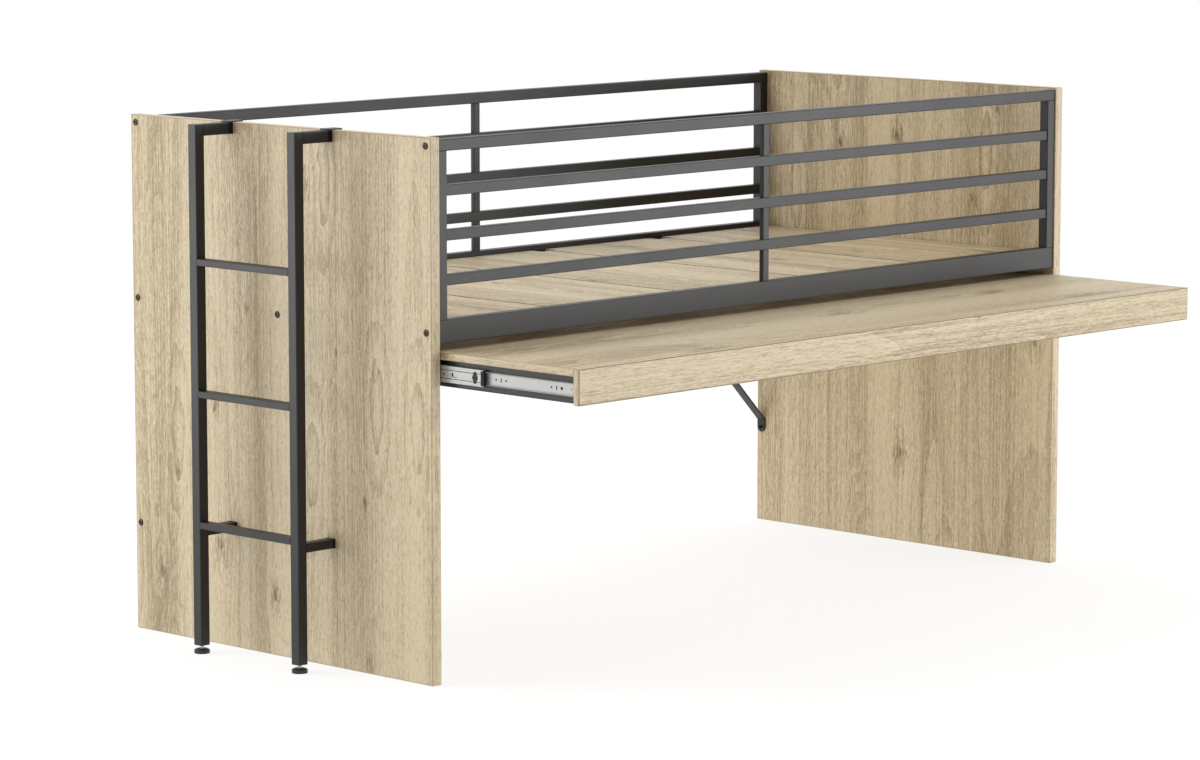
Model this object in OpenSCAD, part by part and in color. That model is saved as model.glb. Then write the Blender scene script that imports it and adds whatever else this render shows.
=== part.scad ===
// Cabin bed: two board end panels joined by tubular guard frames, a five-board deck,
// a desk that pulls out on telescopic ball slides, and a ladder that hooks over one end.
// Sizes are in millimetres. +X runs along the bed to the far end, -Y is the desk side, +Z is up.
// The desk is drawn pulled out. The origin is on the floor, in the middle of the whole outline.

/* [End panels] */
// Height of the end panels
panel_h = 1150; // [1050:10:1300]
// Length over both end panels
bed_len = 2092; // [1950:4:2200]
// Depth of the end panels, front to back
bed_depth = 952; // [880:4:1052]
// Thickness of the end panels
panel_t = 25; // [18:1:30]

/* [Guard frames] */
// Depth and width of the frame tubes
tube_w = 25; // [22:1:30]
// Wall of every steel tube
tube_wall = 1.5; // [1.2:0.1:2]
// Outer corner radius of every steel tube
tube_round = 2; // [1:0.5:3]
// Distance from the panel edge to the outer face of the guard
guard_inset = 3; // [0:1:20]
// Distance from the top of the panel down to the top rail
top_rail_drop = 5; // [0:1:40]
// Height of the top rail
top_rail_h = 25; // [22:1:40]
// Height of the underside of the bottom rail above the floor
rail_z = 719; // [700:1:760]
// Height of the bottom rail
bottom_rail_h = 50; // [45:1:60]
// Number of middle rails
mid_rails = 3; // [2:1:4]
// Height of a middle rail
mid_rail_h = 23; // [15:1:30]
// Depth of a middle rail
mid_rail_d = 20; // [14:1:22]
// Width of the centre post
centre_post_w = 20; // [15:1:40]
// Depth of the centre post
centre_post_d = 12; // [8:1:20]

/* [Deck] */
// Number of deck boards
deck_boards = 5; // [4:1:5]
// Thickness of the deck boards
deck_t = 25; // [16:1:28]
// Depth of the deck surface below the top of the bottom rail
deck_sink = 12; // [8:1:14]
// Gap between two deck boards
board_gap = 3; // [1:0.5:5]
// Gap between the deck and the frame round it
deck_gap = 1; // [0.5:0.5:2]
// Width of a cross bearer
bearer_w = 50; // [40:1:70]
// Thickness of the pressed steel saddles that hold the bearers
saddle_t = 2; // [1.5:0.5:3]
// Length of bearer that lies in a saddle
saddle_len = 30; // [20:1:50]
// Width of the tab that stands up at a board joint
tab_w = 28; // [15:1:40]
// Height of that tab above the deck
tab_rise = 3; // [1:0.5:6]

/* [Braces] */
// Width of the flat steel brace
brace_w = 25; // [20:1:25]
// Thickness of the flat steel brace
brace_t = 4; // [3:0.5:6]
// Height of the bolt at the foot of the brace
brace_bolt_z = 240; // [200:5:300]
// Distance from that bolt up to the bend
brace_bend = 20; // [18:1:40]
// Length of the upper tab, screwed under the bottom rail
brace_tab = 50; // [40:1:80]

/* [Desk] */
// Distance that the desk travels on its slides
desk_travel = 400; // [300:10:400]
// Height of the desk surface above the floor
desk_z = 703; // [660:1:703]
// Depth of the desk, front to back
desk_depth = 560; // [500:10:600]
// Gap between each end of the desk and the panel beside it
desk_gap = 2.5; // [1:0.5:5]
// Thickness of the desk boards
desk_t = 16; // [16:1:22]
// Height of the front board
fascia_h = 75; // [75:1:100]
// Height of the side rails under the desk
side_rail_h = 57; // [50:1:57]
// Width of the side rails under the desk
side_rail_w = 20; // [15:1:30]
// Height of the rear and centre rails under the desk
cross_rail_h = 30; // [20:1:40]
// Width of one leg of the angles behind the front board
angle_leg = 30; // [20:1:35]
// Thickness of these angles
angle_t = 2; // [1.5:0.5:3]
// Length of these angles
angle_len = 40; // [30:1:60]

/* [Slides] */
// Length of the outer and inner members
slide_len = 400; // [400:10:450]
// Height of the outer member
slide_h = 45; // [45:0.5:46]
// Distance from the panel to the side rail, filled by the slide
slide_gap = 12.7; // [12.7:0.1:13.5]
// Sheet thickness of the outer member
outer_t = 1.2; // [1:0.1:1.2]
// Sheet thickness of the middle and inner members
inner_t = 1.0; // [0.8:0.1:1]
// Radius of the balls between the outer and middle members
outer_ball_r = 2; // [1.8:0.05:2]
// Radius of the balls between the middle and inner members
inner_ball_r = 1.6; // [1.4:0.05:1.6]
// Clearance round a ball in its raceway
ball_gap = 0.2; // [0.15:0.05:0.25]
// Sheet thickness of the ball cages
cage_t = 0.6; // [0.4:0.1:0.6]
// Number of balls in a row of the outer cage
outer_balls = 12; // [6:1:14]
// Number of balls in a row of the inner cage
inner_balls = 9; // [5:1:10]
// Distance between two balls in a cage
ball_pitch = 12; // [8:0.5:12]

/* [Ladder] */
// Distance from the panel to the outer face of the ladder
ladder_out = 107; // [90:1:140]
// Clear width between the stiles
ladder_w = 290; // [280:5:400]
// Distance of the ladder's middle from the middle of the panel, towards the front
ladder_offset = 8; // [0:1:60]
// Width and depth of the stiles
stile_w = 25; // [22:1:30]
// Height of the lower ends of the stiles above the floor
stile_z = 20; // [20:1:30]
// Height of the middle of the lowest rung
first_rung = 282.5; // [250:0.5:300]
// Distance between two rungs
rung_pitch = 286; // [240:1:290]
// Number of rungs
rungs = 3; // [2:1:3]
// Height of a rung
rung_h = 15; // [12:1:25]
// Height of the lower standoff tubes
standoff_h = 20; // [15:1:25]
// Height of the middle of the standoffs below the lowest rung
standoff_drop = 14.5; // [0:0.5:40]
// Thickness of the top spacers between the ladder arms and the panel
top_pad_t = 12; // [8:0.5:16]
// Thickness of the rubber pads on the standoffs
low_pad_t = 7; // [5:0.5:12]
// Thickness of the hook plates
hook_t = 3; // [2:0.5:4]
// Depth of the hook lip behind the panel
hook_lip = 25; // [15:1:30]

/* [Feet] */
// Radius of the foot pad
foot_r = 17; // [14:0.5:20]
// Height of the foot pad
foot_h = 10; // [8:0.5:11]
// Radius of the threaded stem
stem_r = 4; // [3:0.5:5]
// Thickness of the plug's flange under the stile
plug_flange = 2; // [1:0.5:3]
// Length of the plug inside the stile
plug_len = 25; // [20:1:40]

/* [Fasteners] */
// Radius of the panel bolts
bolt_r = 3; // [2.5:0.5:4]
// Radius of their heads
bolt_head_r = 7.5; // [6:0.5:9]
// Thickness of their heads
bolt_head_t = 2.5; // [2:0.5:4]
// Length of bolt that reaches past the panel into a rail
bolt_grip = 14; // [8:1:20]
// Radius of the small screws
screw_r = 1.75; // [1.5:0.25:2.5]
// Radius of their countersunk heads
screw_head_r = 3.5; // [3:0.25:4]
// Length of the small screws under the head
screw_len = 13; // [10:1:14]
// Radial gap between a bolt and its clearance hole
hole_gap = 0.25; // [0.2:0.05:0.5]
// Radial gap between a screw and the thread that it turns in
thread_gap = 0.05; // [0.03:0.01:0.1]

/* [Hidden] */
$fn = 48;
eps = 0.01;

// Bed frame
inner_x = bed_len / 2 - panel_t;
edge_y = bed_depth / 2;
guard_y = edge_y - guard_inset - tube_w / 2;
inner_y = guard_y - tube_w / 2;
rail_top = rail_z + bottom_rail_h;
top_rail_z = panel_h - top_rail_drop - top_rail_h;
mid_gap = (top_rail_z - rail_top - mid_rails * mid_rail_h) / (mid_rails + 1);
nut_len = bolt_grip - 2;

// Deck
deck_z = rail_top - deck_sink;
deck_under = deck_z - deck_t;
board_w = (2 * inner_x - 2 * deck_gap - (deck_boards - 1) * board_gap) / deck_boards;
board_step = board_w + board_gap;
bearer_h = deck_under - rail_z - saddle_t;
saddle_play = 0.5;

// Desk
desk_half = inner_x - desk_gap;
closed_front = -edge_y;
desk_front = closed_front - desk_travel;
fascia_back = desk_front + desk_t;
desk_back = desk_front + desk_depth;
desk_under = desk_z - desk_t;
side_rail_x = inner_x - slide_gap;
slide_z = desk_under - side_rail_h / 2;
cross_rail_end = side_rail_x - side_rail_w;
angle_spots = [-0.69, -0.23, 0.23, 0.69] * desk_half;
side_screw_spots = [60, 270, 480];

// Slide members. A section's first coordinate runs from the panel to the desk.
slide_clear = 2;
outer_front = closed_front + desk_t + slide_clear;
inner_front = fascia_back + slide_clear;
middle_setback = 55;
middle_len = slide_len - middle_setback;
middle_front = outer_front + middle_setback - desk_travel / 2;
groove_o = outer_ball_r + ball_gap;
groove_i = inner_ball_r + ball_gap;
ball_o = [4.6, slide_h / 2 - outer_t - groove_o];
crest = slide_h / 2 - 4.75;
ball_i = [8.8, crest - inner_t - groove_i];
band_o = groove_o + inner_t / 2;
band_i = groove_i + inner_t / 2;
ball_line = ball_i - ball_o;
line_angle = atan2(ball_line[1], ball_line[0]);
wave_angle = line_angle - acos((band_o + band_i) / norm(ball_line));
middle_web = 2.4;
hole_groups = [54, 214, 374];
hole_offset = 14.5;
web_groove = 8.8;
cage_play = 0.15;
outer_cage_s = outer_t + 0.3;
inner_cage_s = 5;
outer_cage_y = outer_front + 28;
inner_cage_y = inner_front + slide_len - 17 - cage_run(inner_balls);
bumper_len = 9;
bumper_cap = 3;
bumper_out = 6;
bumper_h = 31;
latch_y = middle_front + 26.5;
latch_s = 1.55;
latch_pivot_r = 3;

// Ladder
ladder_x = -bed_len / 2 - ladder_out;
stile_y = [-ladder_offset - ladder_w / 2 - stile_w / 2, -ladder_offset + ladder_w / 2 + stile_w / 2];
stile_back = ladder_x + stile_w;
arm_end = -bed_len / 2 - top_pad_t;
standoff_end = -bed_len / 2 - low_pad_t;
standoff_z = first_rung - standoff_drop;
pad_gap = 0.3;
hook_gap = 0.5;
plug_gap = 0.1;

// The origin moves to the middle of the outline.
shift_x = (ladder_out - stile_w / 2 + foot_r - bolt_head_t) / 2;
shift_y = desk_travel / 2;

oak = "burlywood";
graphite = "dimgray";
zinc = "gainsboro";
black = "#222222";

// ---- Shared shapes ----

module placed() {
    translate([shift_x, shift_y, 0]) children();
}

// Rectangle with round corners, drawn about its middle
module round_rect(w, h, r) {
    square([w - 2 * r, h], center = true);
    square([w, h - 2 * r], center = true);
    for (x = [-1, 1], y = [-1, 1]) {
        translate([x * (w / 2 - r), y * (h / 2 - r)]) circle(r);
    }
}

module tube_section(w, h) {
    difference() {
        round_rect(w, h, tube_round);
        square([w - 2 * tube_wall, h - 2 * tube_wall], center = true);
    }
}

// Tubes that run along one axis, from the given start
module tube_along_x(x0, len, d, h) {
    translate([x0, 0, 0]) rotate([90, 0, 90]) linear_extrude(len) tube_section(d, h);
}

module tube_along_y(y0, len, w, h) {
    translate([0, y0 + len, 0]) rotate([90, 0, 0]) linear_extrude(len) tube_section(w, h);
}

module tube_along_z(z0, len, w, d) {
    translate([0, 0, z0]) linear_extrude(len) tube_section(w, d);
}

// A round bar or hole that runs along +X from the given start
module rod_x(x0, len, r) {
    translate([x0, 0, 0]) rotate([0, 90, 0]) cylinder(h = len, r = r);
}

// ---- End panels and their bolts ----

// Places of the bolts in a panel: front and rear rails, top and bottom
rail_bolts = [for (y = [-guard_y, guard_y], z = [top_rail_z + top_rail_h / 2, rail_z + bottom_rail_h / 2]) [y, z]];
deck_bolt = [0, deck_under + deck_t / 2];
brace_bolt = [guard_y, brace_bolt_z];

// side is -1 for the ladder end and 1 for the far end
module end_panel(side) {
    placed() difference() {
        translate([side > 0 ? inner_x : -inner_x - panel_t, -edge_y, 0]) cube([panel_t, bed_depth, panel_h]);
        for (p = concat(rail_bolts, [deck_bolt], [brace_bolt])) {
            translate([side * (inner_x + panel_t / 2), p[0], p[1]])
                rod_x(-panel_t, 2 * panel_t, bolt_r + hole_gap);
        }
        slide_side(side) for (y = outer_screw_places()) countersunk_hole(y, outer_t, -1);
    }
}

module ladder_end_panel() {
    color(oak) end_panel(-1);
}

module far_end_panel() {
    color(oak) end_panel(1);
}

// A bolt with its head on the outer face of the left panel and its tip towards +X
module panel_bolt(len) {
    socket_r = 2.4;
    socket_depth = 1.6;
    difference() {
        union() {
            rod_x(-bed_len / 2 - bolt_head_t, bolt_head_t, bolt_head_r);
            rod_x(-bed_len / 2 - eps, len, bolt_r);
        }
        translate([-bed_len / 2 - bolt_head_t - eps, 0, 0]) rotate([0, 90, 0])
            cylinder(h = socket_depth, r = socket_r, $fn = 6);
    }
}

module panel_bolts() {
    color(black) placed() for (side = [0, 1]) mirror([side, 0, 0]) {
        for (p = concat(rail_bolts, [deck_bolt])) {
            translate([0, p[0], p[1]]) panel_bolt(panel_t + bolt_grip);
        }
        translate([0, brace_bolt[0], brace_bolt[1]]) panel_bolt(panel_t + brace_t);
    }
}

// ---- Guard frames ----

// side is -1 for the front frame and 1 for the rear one
module top_rail(side) {
    placed() translate([0, side * guard_y, top_rail_z + top_rail_h / 2])
        tube_along_x(-inner_x, 2 * inner_x, tube_w, top_rail_h);
}

module bottom_rail(side) {
    placed() translate([0, side * guard_y, rail_z + bottom_rail_h / 2])
        tube_along_x(-inner_x, 2 * inner_x, tube_w, bottom_rail_h);
}

module mid_rail_set(side) {
    x0 = inner_x - tube_w;
    placed() for (i = [0 : mid_rails - 1]) {
        translate([0, side * guard_y, rail_top + mid_gap + mid_rail_h / 2 + i * (mid_gap + mid_rail_h)])
            tube_along_x(-x0, 2 * x0, mid_rail_d, mid_rail_h);
    }
}

module front_top_rail() {
    color(graphite) top_rail(-1);
}

module front_mid_rails() {
    color(graphite) mid_rail_set(-1);
}

module front_bottom_rail() {
    color(graphite) bottom_rail(-1);
}

module rear_top_rail() {
    color(graphite) top_rail(1);
}

module rear_mid_rails() {
    color(graphite) mid_rail_set(1);
}

module rear_bottom_rail() {
    color(graphite) difference() {
        bottom_rail(1);
        placed() brace_screw_places() cylinder(h = 2 * tube_wall, r = screw_r + thread_gap, center = true);
    }
}

module guard_end_posts() {
    color(graphite) placed() for (x = [-1, 1], y = [-1, 1]) {
        translate([x * (inner_x - tube_w / 2), y * guard_y, 0])
            tube_along_z(rail_top, top_rail_z - rail_top, tube_w, tube_w);
    }
}

// Short lengths of flat tube between the rails
module guard_centre_posts() {
    color(graphite) placed() for (y = [-1, 1], i = [0 : mid_rails]) {
        translate([0, y * guard_y, 0])
            tube_along_z(rail_top + i * (mid_gap + mid_rail_h), mid_gap, centre_post_w, centre_post_d);
    }
}

// Threaded blocks in the rail ends, for the panel bolts
module end_nut(h) {
    w = tube_w - 2 * tube_wall;
    difference() {
        translate([-inner_x, -w / 2, -h / 2 + tube_wall]) cube([nut_len, w, h - 2 * tube_wall]);
        rod_x(-inner_x - eps, nut_len + 2 * eps, bolt_r + thread_gap);
    }
}

module rail_end_nuts() {
    color(zinc) placed() for (side = [0, 1], y = [-guard_y, guard_y]) mirror([side, 0, 0]) {
        translate([0, y, top_rail_z + top_rail_h / 2]) end_nut(top_rail_h);
        translate([0, y, rail_z + bottom_rail_h / 2]) end_nut(bottom_rail_h);
    }
}

// ---- Deck ----

function joint_x(i) = -inner_x + deck_gap + i * board_step - board_gap / 2;
bearer_x = concat(
    [-inner_x + bearer_w / 2 + saddle_t + saddle_play],
    [for (i = [1 : deck_boards - 1]) joint_x(i)],
    [inner_x - bearer_w / 2 - saddle_t - saddle_play]);

// A cradle that carries one bearer end on the inner face of the rear rail; a joint's cradle has a tab
module saddle(with_tab) {
    wide = bearer_w + 2 * saddle_play + 2 * saddle_t;
    difference() {
        translate([-wide / 2, inner_y - saddle_len, rail_z]) cube([wide, saddle_len, bearer_h + saddle_t - 1]);
        translate([-wide / 2 + saddle_t, inner_y - saddle_len - eps, rail_z + saddle_t])
            cube([wide - 2 * saddle_t, saddle_len - saddle_t + eps, bearer_h + saddle_t]);
    }
    if (with_tab) {
        translate([-board_gap / 2 - tab_w, inner_y - saddle_t, rail_z])
            cube([tab_w, saddle_t, deck_z + tab_rise - rail_z]);
    }
}

module bearer_saddles() {
    color(graphite) placed() for (y = [0, 1], i = [0 : deck_boards]) {
        mirror([0, y, 0]) translate([bearer_x[i], 0, 0]) saddle(i > 0 && i < deck_boards);
    }
}

module cross_bearers() {
    len = 2 * (inner_y - saddle_t - saddle_play);
    color(graphite) placed() for (x = bearer_x) {
        translate([x, 0, deck_under - bearer_h / 2]) tube_along_y(-len / 2, len, bearer_w, bearer_h);
    }
}

// i counts the boards from the ladder end; tabs stand in notches of their far corners
module deck_board(i) {
    x0 = -inner_x + deck_gap + i * board_step;
    y0 = inner_y - deck_gap;
    notch = [tab_w + deck_gap, saddle_t + deck_gap];
    if (i < deck_boards) placed() difference() {
        translate([x0, -y0, deck_under]) cube([board_w, 2 * y0, deck_t]);
        if (i < deck_boards - 1) for (y = [0, 1]) mirror([0, y, 0]) {
            translate([x0 + board_w - notch[0], inner_y - notch[1], deck_under - eps])
                cube([notch[0] + eps, notch[1] + eps, deck_t + 2 * eps]);
        }
        if (i == 0 || i == deck_boards - 1) {
            translate([i == 0 ? x0 - eps : x0 + board_w - bolt_grip - 1, deck_bolt[0], deck_bolt[1]])
                rod_x(0, bolt_grip + 1 + eps, bolt_r + thread_gap);
        }
    }
}

module deck_board_1() {
    color(oak) deck_board(0);
}

module deck_board_2() {
    color(oak) deck_board(1);
}

module deck_board_3() {
    color(oak) deck_board(2);
}

module deck_board_4() {
    color(oak) deck_board(3);
}

module deck_board_5() {
    color(oak) deck_board(4);
}

// ---- Rear braces: bent flat steel from the panel up to the bottom rail ----

bend_z = brace_bolt_z + brace_bend;
brace_run = rail_z - bend_z;
bend_cut = brace_t * tan(22.5);

module brace() {
    difference() {
        union() {
            translate([0, guard_y + brace_w / 2, 0]) rotate([90, 0, 0]) linear_extrude(brace_w) polygon([
                [inner_x, brace_bolt_z], [inner_x, bend_z],
                [inner_x - brace_run, rail_z], [inner_x - brace_run - brace_tab, rail_z],
                [inner_x - brace_run - brace_tab, rail_z - brace_t],
                [inner_x - brace_run - bend_cut, rail_z - brace_t],
                [inner_x - brace_t, bend_z - bend_cut], [inner_x - brace_t, brace_bolt_z]
            ]);
            translate([inner_x - brace_t, guard_y, brace_bolt_z]) rod_x(0, brace_t, brace_w / 2);
        }
        translate([0, guard_y, brace_bolt_z]) rod_x(inner_x - 2 * brace_t, 3 * brace_t, bolt_r + thread_gap);
    }
}

module rear_braces() {
    color(graphite) placed() difference() {
        for (side = [0, 1]) mirror([side, 0, 0]) brace();
        brace_screw_places() cylinder(h = 3 * brace_t, r = screw_r + hole_gap, center = true);
    }
}

// Two screws through each upper tab, centred on the underside of the bottom rail
module brace_screw_places() {
    for (side = [0, 1], k = [0.3, 0.75]) mirror([side, 0, 0]) {
        translate([inner_x - brace_run - k * brace_tab, guard_y, rail_z]) children();
    }
}

module brace_screws() {
    head_t = 2;
    color(zinc) placed() brace_screw_places() {
        translate([0, 0, -brace_t - head_t]) cylinder(h = head_t, r = screw_head_r);
        translate([0, 0, -brace_t - eps]) cylinder(h = brace_t + 2 * tube_wall, r = screw_r);
    }
}

// ---- Telescopic slides ----

// Draws in the slide's own place: X away from the panel, Y along the bed's depth, Z from its middle
module slide_side(side) {
    translate([side * inner_x, 0, slide_z]) mirror([side > 0 ? 1 : 0, 0, 0]) children();
}

module along_y(y0, len) {
    translate([0, y0 + len, 0]) rotate([90, 0, 0]) linear_extrude(len) children();
}

module both_halves() {
    children();
    mirror([0, 1]) children();
}

// Part of a ring about c, from inner radius r and of thickness t, between two angles
module ring_part(c, r, t, from, to) {
    far = 2 * (r + t);
    mid = (from + to) / 2;
    translate(c) difference() {
        intersection() {
            circle(r + t);
            polygon([[0, 0], far * [cos(from), sin(from)], far * [cos(mid), sin(mid)], far * [cos(to), sin(to)]]);
        }
        circle(r);
    }
}

// A straight strip of sheet of thickness t between two points
module sheet_line(a, b, t) {
    d = (b - a) / norm(b - a);
    n = [-d[1], d[0]] * t / 2;
    polygon([a - n, b - n, b + n, a + n]);
}

module outer_section() {
    top = ball_o[1] + (groove_o + outer_t) * sin(145);
    translate([0, -top]) square([outer_t, 2 * top]);
    both_halves() {
        translate([0, top - outer_t]) square([ball_o[0] + (groove_o + eps) * cos(161), outer_t]);
        ring_part(ball_o, groove_o, outer_t, 35, 145);
    }
}

module middle_section() {
    web_top = ball_o[1] - 1.9;
    overlap = 2;
    translate([middle_web, -web_top]) square([inner_t, 2 * web_top]);
    both_halves() {
        ring_part(ball_o, groove_o, inner_t, -138, wave_angle + overlap);
        sheet_line(
            ball_o + band_o * [cos(wave_angle), sin(wave_angle)],
            ball_i + band_i * [cos(wave_angle + 180), sin(wave_angle + 180)],
            inner_t);
        ring_part(ball_i, groove_i, inner_t, 40, wave_angle + 180 + overlap);
    }
}

module inner_section() {
    top = ball_i[1] - 1.1;
    strip_x = ball_i[0] + 1.5;
    translate([slide_gap - inner_t - 0.2, -top]) square([inner_t + 0.2, 2 * top]);
    both_halves() {
        translate([strip_x, top - inner_t + 0.1]) square([slide_gap - strip_x, inner_t - 0.1]);
        ring_part(ball_i, groove_i, inner_t, -140, -40);
    }
}

// Screw places along a member, as distances in Y
function outer_screw_places() = [for (g = hole_groups) outer_front + g - hole_offset];
function inner_screw_places() = [for (g = [hole_groups[0], hole_groups[2]]) inner_front + g - hole_offset];

// A countersunk screw at y with its face at s, turned into the panel (-1) or into the desk rail (1)
module countersunk_screw(y, s, way, len, gap, face) {
    cone = screw_head_r - screw_r;
    translate([s, y, 0]) rotate([0, 90 * way, 0]) {
        translate([0, 0, -face]) cylinder(h = face + eps, r = screw_head_r + gap);
        cylinder(h = cone, r1 = screw_head_r + gap, r2 = screw_r + gap);
        cylinder(h = len, r = screw_r + gap);
    }
}

module countersunk_hole(y, s, way) {
    countersunk_screw(y, s, way, screw_len + 1, thread_gap, 1);
}

// Round holes and a slot in each group, cut through a web that starts at s
module web_holes(front, s) {
    slot_r = 1.6;
    slot_h = 3;
    for (g = hole_groups) translate([0, front + g, 0]) {
        for (k = [-1, 1]) translate([0, k * hole_offset, 0]) rod_x(s - 1, 3, screw_r + 0.6);
        for (k = [-1, 1]) translate([0, 0, k * slot_h]) rod_x(s - 1, 3, slot_r);
        translate([s - 1, -slot_r, -slot_h]) cube([3, 2 * slot_r, 2 * slot_h]);
    }
}

module slide_outer(side) {
    placed() slide_side(side) difference() {
        along_y(outer_front, slide_len) outer_section();
        web_holes(outer_front, 0);
        for (y = outer_screw_places()) countersunk_hole(y, outer_t, -1);
    }
}

module slide_outer_left() {
    color(zinc) slide_outer(-1);
}

module slide_outer_right() {
    color(zinc) slide_outer(1);
}

module slide_outer_screws() {
    color(zinc) placed() for (side = [-1, 1]) slide_side(side) {
        for (y = outer_screw_places()) countersunk_screw(y, outer_t, -1, screw_len, 0, 0);
    }
}

module slide_inner(side) {
    end_hole = 11.5;
    placed() slide_side(side) difference() {
        along_y(inner_front, slide_len) inner_section();
        web_holes(inner_front, slide_gap - inner_t);
        translate([0, inner_front + end_hole, 0]) rod_x(slide_gap - 3, 4, 1.3);
        for (y = inner_screw_places()) countersunk_hole(y, slide_gap - inner_t - 0.2, 1);
    }
}

module slide_inner_left() {
    color(zinc) slide_inner(-1);
}

module slide_inner_right() {
    color(zinc) slide_inner(1);
}

module slide_inner_screws() {
    color(zinc) placed() for (side = [-1, 1]) slide_side(side) {
        for (y = inner_screw_places()) countersunk_screw(y, slide_gap - inner_t - 0.2, 1, screw_len, 0, 0);
    }
}

// The middle member's web has two pressed lines, a latch hole and three openings behind it
module slide_middle(side) {
    line_w = 1.2;
    line_deep = 0.3;
    front = middle_front + bumper_cap;
    placed() slide_side(side) difference() {
        along_y(front, middle_len - bumper_cap) middle_section();
        for (k = [-1, 1]) translate([middle_web - eps, front - eps, k * web_groove - line_w / 2])
            cube([line_deep, middle_len, line_w]);
        translate([0, latch_y, 0]) rod_x(middle_web - 1, 3, latch_pivot_r + thread_gap);
        translate([middle_web - 1, middle_front + 90, -4]) cube([3, 6, 8]);
        translate([middle_web - 1, middle_front + 78, -5]) cube([3, 12, 1.5]);
        translate([0, middle_front + 118.5, 0]) rod_x(middle_web - 1, 3, 2.5);
    }
}

module slide_middle_left() {
    color(zinc) slide_middle(-1);
}

module slide_middle_right() {
    color(zinc) slide_middle(1);
}

// Plastic buffer on the front edge of the middle member
module slide_bumper(side) {
    placed() slide_side(side) {
        translate([latch_s, middle_front, -bumper_h / 2]) cube([bumper_out - latch_s, bumper_cap, bumper_h]);
        translate([latch_s, middle_front, -bumper_h / 2]) cube([middle_web - latch_s, bumper_len, bumper_h]);
    }
}

module slide_bumper_left() {
    color(black) slide_bumper(-1);
}

module slide_bumper_right() {
    color(black) slide_bumper(1);
}

// Two-winged latch that turns on a boss in the middle member's web
module slide_latch(side) {
    hub_r = 7.5;
    wing_r = 4.5;
    wing_reach = 8;
    placed() slide_side(side) translate([0, latch_y, 0]) {
        translate([latch_s, 0, 0]) rotate([90, 0, 90]) linear_extrude(middle_web - 0.05 - latch_s) {
            circle(hub_r);
            square([2 * wing_r, 2 * wing_reach], center = true);
            for (k = [-1, 1]) translate([0, k * wing_reach]) circle(wing_r);
        }
        rod_x(middle_web - 0.1, inner_t + 0.7, latch_pivot_r);
    }
}

module slide_latch_left() {
    color("gray") slide_latch(-1);
}

module slide_latch_right() {
    color("gray") slide_latch(1);
}

// ---- Ball cages ----

function cage_run(n) = (n - 1) * ball_pitch + 14;
function ball_y(start, i) = start + 7 + i * ball_pitch;

// A channel of thin sheet with a hole for each ball; ball is the place of its row
module cage(start, n, ball, r, s) {
    reach = ball[0] + r + 0.6 - s;
    h = ball[1] + cage_t / 2;
    difference() {
        along_y(start, cage_run(n)) difference() {
            translate([s, -h]) square([reach, 2 * h]);
            translate([s + cage_t, -h + cage_t]) square([reach, 2 * (h - cage_t)]);
        }
        for (i = [0 : n - 1]) translate([ball[0], ball_y(start, i), -h - 1])
            cylinder(h = 2 * h + 2, r = r + cage_play);
    }
}

module cage_balls(start, n, ball, r) {
    for (i = [0 : n - 1], k = [-1, 1]) {
        translate([ball[0], ball_y(start, i), k * ball[1]]) sphere(r);
    }
}

module outer_cage(side) {
    placed() slide_side(side) cage(outer_cage_y, outer_balls, ball_o, outer_ball_r, outer_cage_s);
}

module inner_cage(side) {
    placed() slide_side(side) cage(inner_cage_y, inner_balls, ball_i, inner_ball_r, inner_cage_s);
}

module outer_ball_rows(side) {
    placed() slide_side(side) cage_balls(outer_cage_y, outer_balls, ball_o, outer_ball_r);
}

module inner_ball_rows(side) {
    placed() slide_side(side) cage_balls(inner_cage_y, inner_balls, ball_i, inner_ball_r);
}

module outer_cage_left() {
    color(zinc) outer_cage(-1);
}

module outer_cage_right() {
    color(zinc) outer_cage(1);
}

module inner_cage_left() {
    color(zinc) inner_cage(-1);
}

module inner_cage_right() {
    color(zinc) inner_cage(1);
}

module outer_balls_left() {
    color("silver") outer_ball_rows(-1);
}

module outer_balls_right() {
    color("silver") outer_ball_rows(1);
}

module inner_balls_left() {
    color("silver") inner_ball_rows(-1);
}

module inner_balls_right() {
    color("silver") inner_ball_rows(1);
}

// ---- Desk ----

desk_screw_r = 2;
desk_screw_in = 11;

// Screws that hold the desk top to its rails, placed on the underside of the board
module desk_top_screw_places() {
    for (x = [-1, 1], y = side_screw_spots) {
        translate([x * (side_rail_x - side_rail_w / 2), fascia_back + y, desk_under]) children();
    }
    for (x = [-0.75, -0.25, 0.25, 0.75]) {
        translate([x * cross_rail_end, desk_back - side_rail_w / 2 - 10, desk_under]) children();
    }
    translate([0, fascia_back + 200, desk_under]) children();
}

// One screw up through each angle, and one forward into the front board
module angle_top_places() {
    for (x = angle_spots) translate([x, fascia_back + angle_leg * 0.65, desk_under - angle_t]) children();
}

module angle_front_places() {
    for (x = angle_spots) {
        translate([x, fascia_back + angle_t, desk_under - angle_leg * 0.65]) rotate([90, 0, 0]) children();
    }
}

module screw_shank(gap) {
    translate([0, 0, -eps]) cylinder(h = desk_screw_in + tube_wall, r = desk_screw_r + gap);
}

module desk_top() {
    color(oak) placed() difference() {
        translate([-desk_half, fascia_back, desk_under]) cube([2 * desk_half, desk_depth - desk_t, desk_t]);
        desk_top_screw_places() translate([0, 0, -tube_wall]) screw_shank(thread_gap);
        angle_top_places() screw_shank(thread_gap);
    }
}

module desk_fascia() {
    color(oak) placed() difference() {
        translate([-desk_half, desk_front, desk_z - fascia_h]) cube([2 * desk_half, desk_t, fascia_h]);
        angle_front_places() screw_shank(thread_gap);
    }
}

// Holes in a rail: small for the screw in its upper wall, wide below for the driver
module rail_screw_holes(h) {
    desk_top_screw_places() {
        cylinder(h = 4 * tube_wall, r = desk_screw_r + hole_gap, center = true);
        translate([0, 0, -h - tube_wall]) cylinder(h = 3 * tube_wall, r = 5.5);
    }
}

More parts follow.
